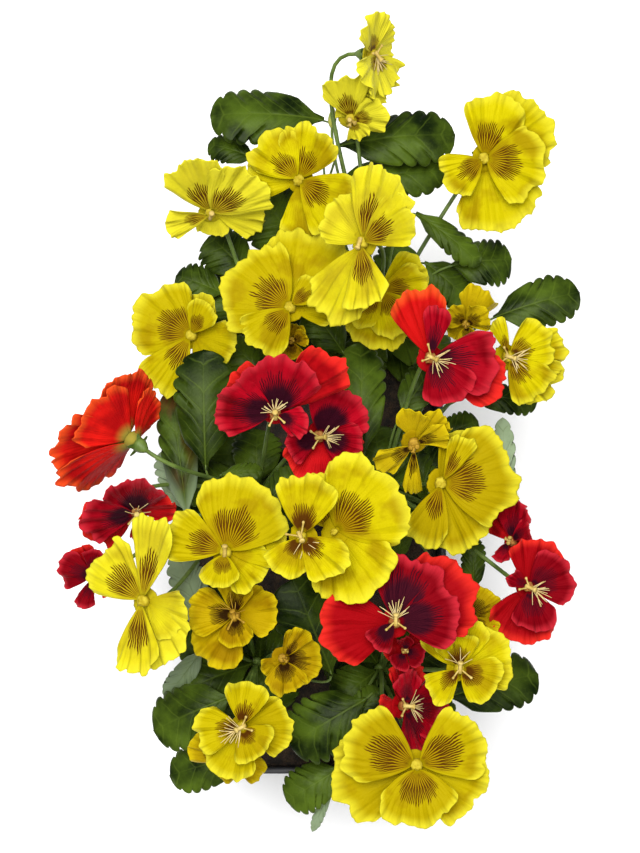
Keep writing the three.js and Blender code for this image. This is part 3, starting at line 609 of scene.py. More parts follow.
# %% Table of flowers
BLOOMS = [
    ("y01", "b", (35, 274, 300), (-5, 55), "lemon", ("whiskers", -60),
     [(112, 29, 44), (-48, 29, 40), (-135, 28, 44)], [(-62, 34, 36), (30, 27, 40)]),
    ("y02", "b", (23, 243, 272), (-90, 30), "lemon", ("stub", 0),
     [(100, 36, 34), (18, 25, 46), (-55, 14, 50)], [(70, 22, 36), (165, 11, 40)]),
    ("y03", "b", (112, 214, 268), (0, 5), "lemon", ("disc", 0),
     [(78, 42, 38), (-10, 40, 52), (212, 31, 40)], [(36, 50, 45), (-72, 50, 46)]),
    ("y04", "a", (-11, 195, 275), (180, 15), "lemon", ("disc", 0),
     [(72, 37, 45), (130, 37, 40), (-32, 43, 40)], [(-76, 38, 40), (165, 36, 42)]),
    ("y05", "a", (-72, 184, 250), (-90, 32), "lemon", ("column", 80),
     [(108, 47, 34), (50, 44, 42), (-172, 31, 26)], [(2, 37, 40), (-80, 19, 78)]),
    ("y06", "a", (-17, 109, 262), (120, 20), "lemon", ("disc", 0),
     [(150, 46, 58), (-128, 37, 38), (35, 25, 34)], [(68, 48, 50), (8, 32, 40)]),
    ("y07", "b", (30, 135, 312), (180, 28), "lemon", ("column", -95),
     [(62, 50, 34), (26, 44, 30), (-76, 43, 28)], [(-116, 53, 32), (118, 30, 36)]),
    ("y08", "b", (42, 123, 262), (-60, 10), "lemon", ("disc", 0),
     [(0, 30, 48), (-65, 30, 45), (-135, 28, 40)], [(24, 32, 42), (-86, 40, 52)]),
    ("y09", "a", (-83, 98, 240), (170, 20), "lemon", ("disc", 0),
     [(148, 40, 58), (-122, 43, 30), (54, 25, 36)], [(-30, 32, 54), (78, 28, 36)]),
    ("r01", "c", (-26, 31, 288), (-90, 25), "crimson", ("whiskers", 95),
     [(84, 41, 52), (162, 38, 42), (-18, 20, 40)], [(44, 55, 26), (136, 36, 34)]),
    ("r02", "c", (1, 22, 262), (-45, 12), "crimson", ("whiskers", 10),
     [(56, 35, 52), (-15, 28, 42), (-168, 23, 42)], [(-104, 28, 60), (-48, 32, 50)]),
    ("r03", "d", (72, 67, 285), (20, 12), "crimson", ("whiskers", -30),
     [(-6, 42, 38), (-62, 32, 44), (85, 32, 20)], [(104, 45, 30), (-22, 50, 26)]),
    ("y10", "b", (100, 104, 250), (-120, 25), "golden", ("stub", 30),
     [(145, 16, 50), (-80, 13, 50), (35, 19, 45)], [(64, 27, 36), (-160, 17, 50)]),
    ("y11", "d", (124, 77, 258), (0, 20), "lemon", ("whiskers", -20),
     [(28, 31, 42), (-52, 33, 40), (114, 26, 16)], [(10, 40, 30), (-36, 40, 32)]),
    ("y12", "d", (62, 16, 270), (-90, 35), "golden", ("stub", -90),
     [(30, 25, 28), (-152, 28, 28), (-93, 33, 14)], [(48, 29, 30), (92, 25, 34)]),
    ("y13", "d", (78, -10, 265), (10, 18), "lemon", ("disc", 0),
     [(10, 47, 58), (-112, 43, 26), (64, 32, 20)], [(-70, 45, 38), (48, 37, 42)]),
    ("y14", "d", (11, -49, 300), (175, 12), "lemon", ("arms", -60),
     [(80, 37, 40), (-118, 26, 40), (-40, 34, 36)], [(42, 49, 56), (-62, 43, 52), (122, 39, 34)]),
    ("y15", "c", (-56, -57, 275), (150, 12), "lemon", ("column", 85),
     [(66, 47, 54), (160, 38, 34), (-100, 22, 46)], [(22, 39, 42), (-36, 29, 46)]),
    ("y16", "c", (-107, -85, 262), (180, 30), "lemon", ("disc", 0),
     [(136, 42, 36), (72, 53, 20), (-88, 44, 26)], [(-25, 32, 40), (-58, 42, 36)]),
    ("r04", "c", (-117, 18, 264), (142, 122), "scarlet", ("slim", 0),
     [(322, 38, 40), (262, 47, 40), (22, 40, 40)], [(217, 50, 34), (67, 34, 34)]),
    ("r05", "c", (-117, -21, 238), (-90, 40), "crimson", ("arms", 90),
     [(96, 32, 52), (180, 35, 38), (-82, 19, 26)], [(8, 25, 36), (205, 38, 40)]),
    ("r06", "c", (-145, -60, 215), (200, 30), "crimson", ("stub", 0),
     [(165, 24, 42), (-108, 21, 24), (75, 20, 28)], [(125, 22, 36), (-40, 16, 40)]),
    ("y17", "e", (-51, -92, 250), (-160, 12), "golden", ("arms", 100),
     [(174, 28, 42), (84, 25, 36), (-80, 19, 52)], [(10, 27, 50), (-122, 35, 42)]),
    ("y18", "e", (-22, -117, 238), (-40, 15), "golden", ("stub", 90),
     [(-4, 24, 44), (-84, 22, 50), (58, 22, 22)], [(52, 20, 34), (-140, 16, 38)]),
    ("y19", "e", (-46, -161, 245), (200, 10), "lemon", ("whiskers", -150),
     [(184, 29, 40), (80, 30, 36), (-48, 22, 55)], [(4, 32, 46), (-112, 33, 42)]),
    ("y20", "e", (-55, -177, 212), (-90, 20), "golden", ("stub", 60),
     [(158, 27, 28), (-20, 22, 30), (-90, 13, 40)], [(40, 22, 40), (-150, 14, 36)]),
    ("r07", "f", (47, -103, 288), (60, 15), "crimson", ("whiskers", 90),
     [(72, 40, 44), (6, 38, 42), (-130, 23, 30)], [(30, 53, 42), (186, 44, 44)]),
    ("y21", "f", (94, -93, 245), (40, 20), "golden", ("disc", 0),
     [(40, 23, 48), (-50, 21, 44), (132, 19, 40)], [(6, 24, 42), (84, 18, 42)]),
    ("y22", "f", (87, -128, 268), (20, 10), "lemon", ("arms", 90),
     [(98, 23, 46), (-30, 26, 50), (-138, 26, 32)], [(98, 33, 54), (22, 34, 50)]),
    ("r08", "f", (53, -148, 243), (0, 38), "crimson", ("whiskers", -5),
     [(-8, 27, 54), (-74, 29, 38), (97, 22, 38)], [(84, 27, 40), (190, 20, 40)]),
    ("y23", "f", (61, -185, 258), (-90, 6), "lemon", ("disc", 0),
     [(26, 44, 40), (156, 45, 40), (-88, 36, 56)], [(-22, 45, 44), (194, 51, 40)]),
    ("y24", "a", (-17, 96, 238), (-100, 15), "golden", ("stub", 0),
     [(-90, 13, 50), (20, 11, 45), (150, 11, 45)], [(60, 12, 40), (-150, 12, 40)]),
    ("r11", "f", (54, -115, 262), (-60, 20), "crimson", ("stub", 90),
     [(-20, 13, 50), (-120, 12, 45), (90, 10, 40)], [(30, 14, 45), (170, 13, 45)]),
    ("r09", "d", (127, -43, 240), (160, 35), "crimson", ("stub", 45),
     [(78, 26, 40), (26, 19, 28), (-115, 15, 36)], [(132, 24, 28), (-60, 15, 40)]),
    ("r10", "d", (133, -75, 255), (-10, 12), "crimson", ("whiskers", -25),
     [(24, 28, 54), (-82, 28, 42), (150, 16, 28)], [(72, 30, 48), (-100, 35, 52)]),
]
print("flowers:", len(BLOOMS))

# %% [markdown]
# Some flowers differ from the rule in one thing or another. A single petal is named by
# its flower, its layer (1 for the front, -1 for the back) and its number in that layer.

# %% What is special about some flowers
# The painted shade of a flower that is not listed: a little darker than plain.
USUAL_PAINTED_SHADE = 0.12
# Painted light and shade of each flower, from -1 (painted lighter) to 1 (painted darker),
# for how the flower lies in or out of the light.
PAINTED_LIGHT_AND_SHADE = {"y01": -1.0, "y02": -0.9, "y05": -0.7, "y06": 0.5, "y07": -0.4, "y09": 0.5, "y10": -0.4,
         "y12": -0.6, "y13": 0.7, "y15": 0.4, "y16": -0.45, "y17": 0.2, "y18": 0.45, "y19": 0.6,
         "y23": 0.75, "y24": 0.9, "r03": 0.6, "r05": 0.6, "r06": 0.8, "r07": 1.0, "r08": 0.4,
         "r09": 0.5, "r10": 1.0, "r11": 0.9}
# How long the printed lines are, and how much larger the solid patch inside them is.
MARK_SCALE = {"y01": 0.75, "y02": 0.9, "y14": 0.85, "y16": 1.08, "y19": 0.9, "y23": 1.12,
              "r07": 1.12}
PATCHES = {"y01": 0.9, "y02": 0.7, "y11": 0.8, "y14": 1.6, "y17": 0.4, "y18": 0.3, "y19": 1.3,
           "y22": 1.3, "y23": 0.3, "r01": 0.5, "r02": 1.0, "r05": 0.5, "r07": 0.8, "r08": -0.4,
           "r10": -0.5}
MARKED_BACKS = {("y14", 0), ("y14", 2)}
OTHER_COLOUR = {("r03", -1, 0): "scarlet"}
# Petals of another direction, reach or angle; wider, smoother and more cupped flowers.
RESHAPED = {("y04", -1, 0): (-72, 42, 43), ("y06", -1, 0): (70, 54, 50),
            ("y07", -1, 1): (136, 35, 46)}
WIDER = {"r04": 1.28}
SMOOTHER = {"r04": 0.55}
CUPS = {"r04": 32}
# A second heart on the front petals, away from the flower's middle.
FRONT_HEARTS = {"y14": Vector((-18, -3, 9))}
# The count of flowers with painted light or shade of their own.
print("flowers with a depth of their own:", len(PAINTED_LIGHT_AND_SHADE))

# %% [markdown]
# A petal is a fan whose foot is narrow and whose outer edge is rounded, scalloped and
# ruffled. Its middle line and its cup are those of the CAD petal. Finer waves are added:
# radial folds, ripples that grow towards the edge, and small scallops in the outline.

# %% One petal
FRONT = {"lift": 2.4, "step": 1.5, "cup": 15, "ruffle": 1.6}
BACK = {"lift": -0.2, "step": 1.1, "cup": 7, "ruffle": 1.8}
PETAL_FOOT = 1.6
PETAL_THICKNESS = Vector((0, 0, 0.6))
PETAL_ROWS = [0.04, 0.1, 0.17, 0.24, 0.31, 0.38, 0.45, 0.52, 0.59, 0.66, 0.73, 0.79, 0.85,
              0.9, 0.94, 0.975, 1]
PETAL_COLUMNS = [i / 22 for i in range(-22, 23)]
RIPPLE_WIDTHS, SCALLOP_WIDTHS = (9.0, 13.0), (4.4, 6.0)
RIPPLE_HEIGHT, FRILL_HEIGHT, FOLD_HEIGHT = 2.4, 1.4, 0.7
CURL_HEIGHT, SWELL_HEIGHT = 2.4, 2.8
# The edge: how far out its corners lie, its scallops, and its slow and quick unevenness.
CORNER_REACH, SCALLOP_DEPTH, SLOW_UNEVEN, QUICK_UNEVEN = 0.73, 0.004, 0.12, 0.055
CUP_FLATTENS = 0.35


def petal_shape(petal, layer, order, seed):
    """A function of s, from foot to edge, and t, from side to side, for one petal."""
    direction, reach, half = petal
    dice = random.Random(seed)
    phase = [dice.uniform(0, 2 * math.pi) for _ in range(6)]
    arc = 2 * math.radians(half) * reach
    ripples = max(2.0, arc / dice.uniform(*RIPPLE_WIDTHS))
    scallops = arc / dice.uniform(*SCALLOP_WIDTHS)
    middle = math.radians(direction)

    def point(s, t):
        angle = math.radians(direction + half * t * (1.02 + 0.38 * (1 - s) ** 1.4))
        edge = reach * (CORNER_REACH + 0.27 * math.sqrt(max(0.0, 1 - abs(t) ** 2.6)))
        uneven = SLOW_UNEVEN * rough(arc / 22 * t, seed * 1.3, 7.0)
        uneven += QUICK_UNEVEN * rough(arc / 8 * t, seed * 1.7, 3.0)
        scallop = SCALLOP_DEPTH * math.sin(math.pi * scallops * t + phase[0])
        edge *= 1 + s ** 3 * (scallop + uneven)
        x = (1 - s) * PETAL_FOOT * math.cos(middle) + s * edge * math.cos(angle)
        y = (1 - s) * PETAL_FOOT * math.sin(middle) + s * edge * math.sin(angle)
        wave = math.sin(4.2 * t + direction * 0.05 + order) * s * s
        rise = s * edge * math.tan(math.radians(layer["cup"])) * (1 - CUP_FLATTENS * s)
        ripple = math.sin(math.pi * ripples * t + phase[2] + 0.9 * math.sin(4 * s + phase[5]))
        ripple *= 0.6 + 1.2 * rough(3.1 * t, seed * 0.71, 2.0)
        frill = math.sin(math.pi * ripples * 2.1 * t + phase[3])
        frill *= 0.5 + 1.2 * rough(4.3 * t, seed * 0.53, 5.0)
        fold = FOLD_HEIGHT * s * math.sin(math.pi * ripples * 0.8 * t + phase[4] + 1.2 * s)
        curl = CURL_HEIGHT * s ** 7 * rough(2.6 * t + seed, 4.0, 1.0)
        swell = SWELL_HEIGHT * s * rough(x * 0.06, y * 0.06, seed * 0.37)
        fine = RIPPLE_HEIGHT * s ** 2.8 * (ripple + 0.3) + FRILL_HEIGHT * s ** 5 * frill
        fine = fine + fold + curl + swell
        height = layer["lift"] + layer["step"] * order + rise
        return Vector((x, y, height + layer["crumple"] * (layer["ruffle"] * wave + fine)))

    return point


print("rows and columns of a petal:", len(PETAL_ROWS), len(PETAL_COLUMNS))

# %% [markdown]
# The heart is what makes each flower different. Open flowers show a pale disc where the
# petals meet. Others carry a pistil of cream plastic: a short column, two arms with
# knobs, and a fan of straight whiskers that lies over the petals.


# %% Turned forms and hearts
def turned(piece, profile, sides, finish, place=Matrix.Identity(4), lumps=0.0, spot=(0, 0, 0),
           look=(0, 0, 0)):
    """A closed form turned round z. profile: radius and height, from top to bottom."""
    points, rings = [], []
    for radius, height in profile:
        count = sides if radius > 0 else 1
        rings.append([len(points) + i for i in range(count)])
        for i in range(count):
            turn = 2 * math.pi * i / sides
            lump = lumps * rough(2.2 * math.cos(turn), 2.2 * math.sin(turn), 1.3 * radius)
            wide = radius * (1 + 0.5 * lump)
            spread = Vector((wide * math.cos(turn), wide * math.sin(turn), height + 1.6 * lump))
            points.append(place @ spread)
    faces = []
    for upper, lower in zip(rings, rings[1:]):
        for i in range(sides):
            a, b = upper[i % len(upper)], upper[(i + 1) % len(upper)]
            c, d = lower[(i + 1) % len(lower)], lower[i % len(lower)]
            faces.append([v for k, v in enumerate((b, a, d, c)) if v != (b, a, d, c)[k - 1]])
    piece.add(points, faces, finish, [spot] * len(points), look)


def way(direction, rise=0.0):
    """A unit vector, from its direction round z and its rise in degrees."""
    angle, tilt = math.radians(direction), math.radians(rise)
    level = math.cos(tilt)
    return Vector((math.cos(angle) * level, math.sin(angle) * level, math.sin(tilt)))


def knobbed(start, direction, rise, length, radius):
    """An arm that curves up a little and ends in a knob."""
    line = []
    for share, size in ((0, 1), (0.35, 0.9), (0.7, 0.85), (0.84, 1.1), (0.93, 1.45), (1, 1.0)):
        lift = Vector((0, 0, 0.25 * length * share * share))
        line.append((start + way(direction, rise) * length * share + lift, radius * size))
    return line


DISC = [(0, 4.8), (0.8, 5.1), (1.7, 5.3), (2.5, 5.1), (3.2, 4.6), (3.8, 3.8), (3.7, 1.0),
        (3.0, -0.7), (0, -0.8)]
FUNNEL = [(0, 1.2), (5.6, 3.4), (6.0, 3.1), (5.2, 0.4), (4.7, -2.6), (0, -2.9)]
THROAT = [(0, -0.5), (3, -0.6), (6, -0.5), (8.6, -0.1), (8.9, -0.5), (6, -1.1), (0, -1.4)]
DISC_TOP = 5.6
WHISKERS = {"whiskers": 15, "arms": 5}
WHISKER_FAN = 136
WHISKER_RADIUS, WHISKER_TAPER = 0.30, 0.03
ARM_RADIUS = 0.62
COLUMN_LENGTH, COLUMN_RADIUS = 7.0, 1.4


def heart(piece, kind, direction, size, place, finish, seed):
    """The heart's parts, in the flower's own axes and then put in their place."""
    dice = random.Random(seed)
    lines, hairs = [], []
    if kind == "slim":
        turned(piece, FUNNEL, 24, PETALS["scarlet"], place, 0.0, (0, 0.04, -1))
        return
    flatter = min(1, size + 0.1)
    turned(piece, [(r * size, h * flatter) for r, h in DISC], 16, finish, place, 0.7)
    top = Vector((0, 0, DISC_TOP * flatter))
    if kind in ("whiskers", "column", "arms"):
        foot = top - way(direction) * 3
        lines.append(knobbed(foot, direction, 14, COLUMN_LENGTH, COLUMN_RADIUS))
    if kind in WHISKERS:
        for side in (-1, 1):
            turn = direction + 180 + side * dice.uniform(32, 52)
            lines.append(knobbed(top, turn, 6, dice.uniform(7.0, 9.5), ARM_RADIUS))
        count = WHISKERS[kind]
        for i in range(count):
            turn = direction + WHISKER_FAN * (i / (count - 1) - 0.5) + dice.uniform(-6, 6)
            length = dice.uniform(7.5, 12.5)
            start = top + way(direction, 10) * dice.uniform(0.5, 4.5)
            bend = dice.uniform(-9, 9)
            steps = [start + way(turn + bend * u, 15) * length * u for u in (0, 0.35, 0.7, 1)]
            radii = [WHISKER_RADIUS - WHISKER_TAPER * k for k in range(len(steps))]
            hairs.append(list(zip(steps, radii)))
    if kind == "stub":
        for i in range(3):
            turn = direction + 120 * i + dice.uniform(-20, 20)
            lines.append(knobbed(top, turn, 35, 3.6 * size, 1.2 * size))
    for parts, sides, usual in ((lines, 8, PISTIL), (hairs, 5, WHISKER)):
        if parts:
            placed = [[(place @ point, radius) for point, radius in line] for line in parts]
            tubes(piece, placed, sides, finish if finish == DISC_FINISH["golden"] else usual)


DISC_TONES = {"lemon": ((0.30, 0.22, 0.004), (0.42, 0.34, 0.02)),
              "golden": ((0.24, 0.13, 0.008), (0.36, 0.22, 0.02)),
              "crimson": ((0.19, 0.06, 0.012), (0.32, 0.15, 0.035))}
DISC_FINISH = {name: mottled(name + " heart", *tones, 300.0, 1400.0, 0.0003, 0.6, 0.15)
               for name, tones in DISC_TONES.items()}
DISC_FINISH["scarlet"] = DISC_FINISH["crimson"]
print("kinds of heart:", sorted({row[5][0] for row in BLOOMS}))


# %% Make the flowers
def bloom_place(at, lean):
    """The flower's own axes: x and y lie in its face, z looks out of it."""
    facing = (FACED_POINT - at).normalized()
    up = facing.cross(Vector((1, 0, 0))).normalized()
    right = up.cross(facing)
    direction, angle = (math.radians(value) for value in lean)
    hinge = right * -math.sin(direction) + up * math.cos(direction)
    turn = Matrix.Rotation(angle, 3, hinge)
    axes = Matrix((turn @ right, turn @ up, turn @ facing)).transposed()
    return Matrix.Translation(at) @ axes.to_4x4()


MARK = {"lemon": 0.68, "golden": 0.72, "crimson": 0.78, "scarlet": 0.6}
BACK_COLOUR = {"lemon": "lemon", "golden": "golden", "crimson": "ruby", "scarlet": "scarlet"}
SMALL_HEART = 0.55


def make_bloom(number, row):
    key, _, at, lean, colour, (kind, direction), front, back = row
    place = bloom_place(Vector(at), lean)
    dice = random.Random(500 + number)
    piece = Piece("petal")
    shift = FRONT_HEARTS.get(key, Vector())
    layers = [(front, FRONT, 1, shift, colour), (back, BACK, -1, Vector(), BACK_COLOUR[colour])]
    for petals, layer, sign, moved, shade in layers:
        layer = dict(layer, cup=CUPS.get(key, layer["cup"]), crumple=SMOOTHER.get(key, 1.0))
        for i, petal in enumerate(petals):
            direction_out, reach, half = RESHAPED.get((key, sign, i), petal)
            half *= WIDER.get(key, 1.0)
            seed = 11 * number + i + (5 if sign < 0 else 0)
            shape = petal_shape((direction_out, reach, half), layer, sign * i, seed)
            marked = sign > 0 or (key, i) in MARKED_BACKS
            mark = MARK[colour] * dice.uniform(0.92, 1.08) if marked else 0.0
            patch = 0.0
            if sign > 0:
                mark *= MARK_SCALE.get(key, 1.0)
                patch = PATCHES.get(key, 0.0)
            # This flower's painted light or shade, with a small random spread, kept in the look's
            # fraction.
            depth = PAINTED_LIGHT_AND_SHADE.get(key, USUAL_PAINTED_SHADE) + dice.uniform(-0.12, 0.2)
            depth = NEUTRAL_PAINTED_LIGHT + depth * (1 - NEUTRAL_PAINTED_LIGHT if depth > 0 else NEUTRAL_PAINTED_LIGHT)
            look = (math.radians(half), dice.randint(0, 40) + min(0.97, max(0.0, depth)), patch)
            sheet(piece, lambda s, t: place @ (shape(s, t) + moved), PETAL_ROWS, PETAL_COLUMNS,
                  place.to_3x3() @ PETAL_THICKNESS, PETALS[OTHER_COLOUR.get((key, sign, i), shade)],
                  look, mark, -1.0)
    size = min(1.0, 0.30 + max(petal[1] for petal in front) / 50)
    disc = DISC_FINISH[colour]
    if kind != "slim":
        throat = [(r * size, h) for r, h in THROAT]
        turned(piece, throat, 20, PETALS[BACK_COLOUR[colour]], place, 0.4, look=look)
    if shift.length:
        turned(piece, THROAT, 20, PETALS[colour], place @ Matrix.Translation(shift), 0.4, look=look)
        heart(piece, "disc", 0, SMALL_HEART, place, disc, 900 + number)
        size = 0.8
    heart(piece, kind, direction, size, place @ Matrix.Translation(shift), disc, 900 + number)
    name = ("yellow_bloom_" if key[0] == "y" else "red_bloom_") + key[1:]
    return piece.finish(name + "_petals", colour + "_petals", name)


flowers = [make_bloom(number, row) for number, row in enumerate(BLOOMS)]
print("flowers:", len(flowers), "faces:", sum(len(piece.data.polygons) for piece in flowers))

# %% [markdown]
# ## The leaves
# A leaf is obovate: a long wedge, then a broad round end whose edge is cut into lobes.
# The rows of its mesh are its side veins. They leave the midrib and sweep forward to the
# middle of a lobe, so the grooves of the veins and the slits between lobes fall on rows.
# Each leaf is a row: its plant, the places of its foot and its tip, and its width.

# %% Table of leaves
LEAVES = [
    ("a", (5, 261, 232), (-75, 262, 236), 45),
    ("a", (-43, 236, 222), (-77, 247, 222), 23),
    ("b", (14, 238, 238), (96, 245, 240), 42),
    ("b", (10, 216, 222), (90, 224, 226), 34),
    ("a", (-10, 170, 212), (-42, 205, 232), 54),
    ("a", (-50, 159, 200), (-76, 184, 206), 38),
    ("a", (-65, 143, 200), (-99, 155, 204), 29),
    ("c", (-73, 6, 236), (-75, 84, 252), 41),
    ("c", (-86, -22, 212), (-98, 66, 222), 27),
    ("c", (-63, 6, 225), (-36, 8, 225), 15),
    ("c", (-36, -21, 232), (-14, 7, 236), 22),
    ("d", (30, 14, 236), (29, 93, 240), 34),
    ("b", (19, 91, 220), (-6, 122, 232), 30),
    ("a", (-32, 74, 212), (-61, 102, 218), 31),
    ("b", (74, 158, 222), (104, 133, 214), 30),
    ("b", (67, 184, 246), (111, 150, 238), 21),
    ("b", (92, 153, 228), (134, 158, 226), 37),
    ("d", (119, 113, 234), (177, 129, 240), 36),
    ("d", (103, 60, 226), (148, 56, 224), 23),
    ("d", (56, 48, 222), (80, 83, 224), 28),
    ("d", (125, -26, 210), (124, 45, 226), 17),
    ("d", (102, -71, 214), (103, -36, 222), 18),
    ("d", (76, -16, 222), (64, 22, 232), 20),
    ("d", (53, -53, 224), (57, -19, 234), 17),
    ("e", (10, -125, 212), (-16, -66, 236), 45),
    ("e", (-69, -101, 205), (-92, -45, 220), 26),
    ("e", (-75, -106, 196), (-100, -138, 186), 18),
    ("e", (-55, -137, 204), (-107, -158, 190), 42),
    ("e", (-44, -172, 186), (-97, -186, 176), 33),
    ("f", (32, -140, 214), (-18, -169, 204), 44),
    ("f", (16, -182, 190), (-20, -203, 182), 32),
    ("f", (10, -191, 184), (-3, -222, 172), 9),
    ("f", (82, -140, 220), (143, -124, 214), 38),
    ("f", (21, -154, 206), (42, -134, 210), 22),
    ("c", (-86, -15, 200), (-104, 28, 206), 24),
    ("d", (78, 32, 216), (108, 44, 222), 24),
]
LEAF_ARCH = 0.3
# By the number of the leaf's row: a darker shade, and pale or (below 0) bronze leaves.
DARK_LEAVES = {7: 0.5, 24: 0.7, 32: 0.6}
PALE_LEAVES = {20: 0.9, 25: 0.9, 26: 0.6, 31: 0.7, 34: 0.9, 8: -1.0}
print("leaves:", len(LEAVES))

# %% One leaf
LEAF_THICKNESS = 0.5
LEAF_NECK_HALF = 1.1
ROWS_PER_LOBE, NECK_ROWS = 6, 6
LOBE_ROWS = round(LEAF_LOBES * ROWS_PER_LOBE)
LEAF_ROWS = [LOBES_START * i / NECK_ROWS for i in range(NECK_ROWS)]
LEAF_ROWS += [LOBES_START + (1 - LOBES_START) * i / LOBE_ROWS for i in range(LOBE_ROWS + 1)]
HALF_COLUMNS = [0.05, 0.13, 0.27, 0.42, 0.58, 0.74, 0.89, 1.0]
LEAF_COLUMNS = [-t for t in reversed(HALF_COLUMNS)] + [0.0] + HALF_COLUMNS
LEAF_FULLNESS, EDGE_DROOP = 0.66, 0.22
SIDE_VEIN_DEPTH, MIDRIB_DEPTH = 0.22, 0.8
WAVE_SHARE, LEAF_FRILL = 0.045, 0.6


def leaf(piece, base, tip, width, arch, seed, pale=0.0, shade=1.0):
    dice = random.Random(seed)
    phase = [dice.uniform(0, 2 * math.pi) for _ in range(4)]
    along = (tip - base).normalized()
    length = (tip - base).length
    across = Vector((0, 0, 1)).cross(along).normalized()
    normal = along.cross(across)
    slit = dice.uniform(0.17, 0.25)

    def point(s, t):
        lobe = max(0.0, (s - LOBES_START) / (1 - LOBES_START)) * LEAF_LOBES
        arc = abs(math.sin(math.pi * lobe)) ** 0.5
        rib, rim = s ** 2.1, s ** 0.85
        full = LEAF_FULLNESS * width * rim ** 0.45 * math.sqrt(max(0.0, 1 - rim ** 5))
        half = LEAF_NECK_HALF * (1 - s) + (full - LEAF_NECK_HALF) * eased(rim, 0.0, 0.26)
        cut = slit * (1 - arc) * eased(s, LOBES_START, LOBES_START + 0.2)
        half = max(0.0, half) * (1 - cut * eased(1 - s, 0.0, 0.06))
        x = length * (rib + (rim - rib) * abs(t) ** 0.8)
        y = half * t
        place = x / length
        height = arch * length * place * (1 - place) - EDGE_DROOP * half * t * t
        vein = abs(lobe - math.floor(lobe) - 0.5)
        groove = math.exp(-(vein / 0.16) ** 2) * eased(s, 0.25, 0.45) * (1 - abs(t)) ** 0.4
        relief = -SIDE_VEIN_DEPTH * groove - MIDRIB_DEPTH * math.exp(-(t / 0.09) ** 2) * (1 - s)
        turn = 2.0 * math.pi * place + phase[0] + (1.9 if t > 0 else 0)
        wave = WAVE_SHARE * width * abs(t) ** 2 * math.sin(turn)
        edge = LEAF_FRILL * abs(t) ** 3 * math.sin(math.pi * lobe * 0.9 + phase[1])
        return base + along * x + across * y + normal * (height + relief + wave + edge)

    sheet(piece, point, LEAF_ROWS, LEAF_COLUMNS, normal * LEAF_THICKNESS, LEAF, (shade, pale, 0))


print("rows and columns of a leaf:", len(LEAF_ROWS), len(LEAF_COLUMNS))

# %% [markdown]
# ## The stems
# Every flower stem and leaf stalk starts on its plant's main stem and follows a smooth
# curve. A flower's stem passes behind the flower and hooks into the green cup there,
# whose five sepals hold the back petals.

# %% Stem curves
FLOWER_STEM_RADIUS = 1.5
LEAF_STALK_RADIUS = 1.0
CUP_DEPTH = 8


def stem_root(plant, goal, height):
    x, y = PLANTS[plant]
    side = Vector((goal.x - x, goal.y - y, 0)).normalized()
    return Vector((x, y, height)) + side * 1.5


def rising(root, end, share, climb):
    """Where a stem rises to first: a share of its way out, and climb times its reach up."""
    rise = root.lerp(end, share)
    rise.z = root.z + climb * (end - root).length
    return rise


def flower_stem(row, order):
    place = bloom_place(Vector(row[2]), row[3])
    end = place @ Vector((0, 0, -CUP_DEPTH - 1))
    root = stem_root(row[1], end, LOWEST_ROOT + 6 * (order % 4))
    approach = place @ Vector((0, 0, -CUP_DEPTH - 0.3 * (end - root).length))
    ends = (root, rising(root, end, share=0.3, climb=0.45), approach, end)
    return curve(ends, 18, FLOWER_STEM_RADIUS, foot=1.05, loss=0.15)


def leaf_stalk(plant, base, tip, order):
    along = (tip - base).normalized()
    root = stem_root(plant, base, LOWEST_ROOT + 1 + 5 * (order % 5))
    approach = base - along * 0.25 * (base - root).length
    end = base + along * 5 + Vector((0, 0, 0.3))
    ends = (root, rising(root, base, share=0.35, climb=0.3), approach, end)
    return curve(ends, 12, LEAF_STALK_RADIUS, foot=1.1, loss=0.4)


CUP_PROFILE = [(0, -3.2), (4.6, -3.3), (5.0, -4.3), (4.8, -6.0), (3.9, -8.2), (2.5, -10.4),
               (1.6, -11.6), (0, -11.8)]
SEPALS = 5
SEPAL_THICKNESS = Vector((0, 0, 0.4))


def calyx(piece, place, size, seed):
    """The green cup behind a flower, with five pointed sepals."""
    turned(piece, [(r * size if r else 0, h) for r, h in CUP_PROFILE], 12, STEM, place)
    dice = random.Random(seed)
    for i in range(SEPALS):
        turn = 360 / SEPALS * i + dice.uniform(-10, 10)
        long = dice.uniform(5.0, 7.0) * size

        def point(s, t):
            width = 2.3 * size * (1 - s) ** 0.7 * (0.7 + 0.9 * s)
            out = way(turn) * (2.5 * size + long * s) + way(turn + 90) * width * t
            return place @ (out + Vector((0, 0, -4.4 + 1.6 * s - 0.5 * t * t)))

        sheet(piece, point, [0, 0.25, 0.5, 0.75, 0.92, 1], [-1, -0.5, 0, 0.5, 1],
              place.to_3x3() @ SEPAL_THICKNESS, STEM, (0, 0, 0))


print("cup profile:", CUP_PROFILE[0], "to", CUP_PROFILE[-1])

# %% [markdown]
# Low leaves ring each main stem: a rosette over the soil and a higher ring that droops.
# Their places follow a rule with small seeded draws, the same as in the CAD model, and
# those on the outer side are longer, so that they reach over the rim.

# %% Rings of low leaves
RINGS = [
    {"leaves": 5, "base": 2, "inward": 36, "outward": 60, "foot": 156, "tip": 167, "width": 36,
     "arch": 0.3, "turn": 14},
    {"leaves": 4, "base": 3, "inward": 40, "outward": 66, "foot": 182, "tip": 184, "width": 36,
     "arch": 0.6, "turn": 50},
]
SEED = 7


def draw(seed):
    """A number between -1 and 1 that is always the same for the same seed."""
    value = math.sin((seed + SEED) * 12.9898) * 43758.5453
    return 2 * (value - math.floor(value)) - 1


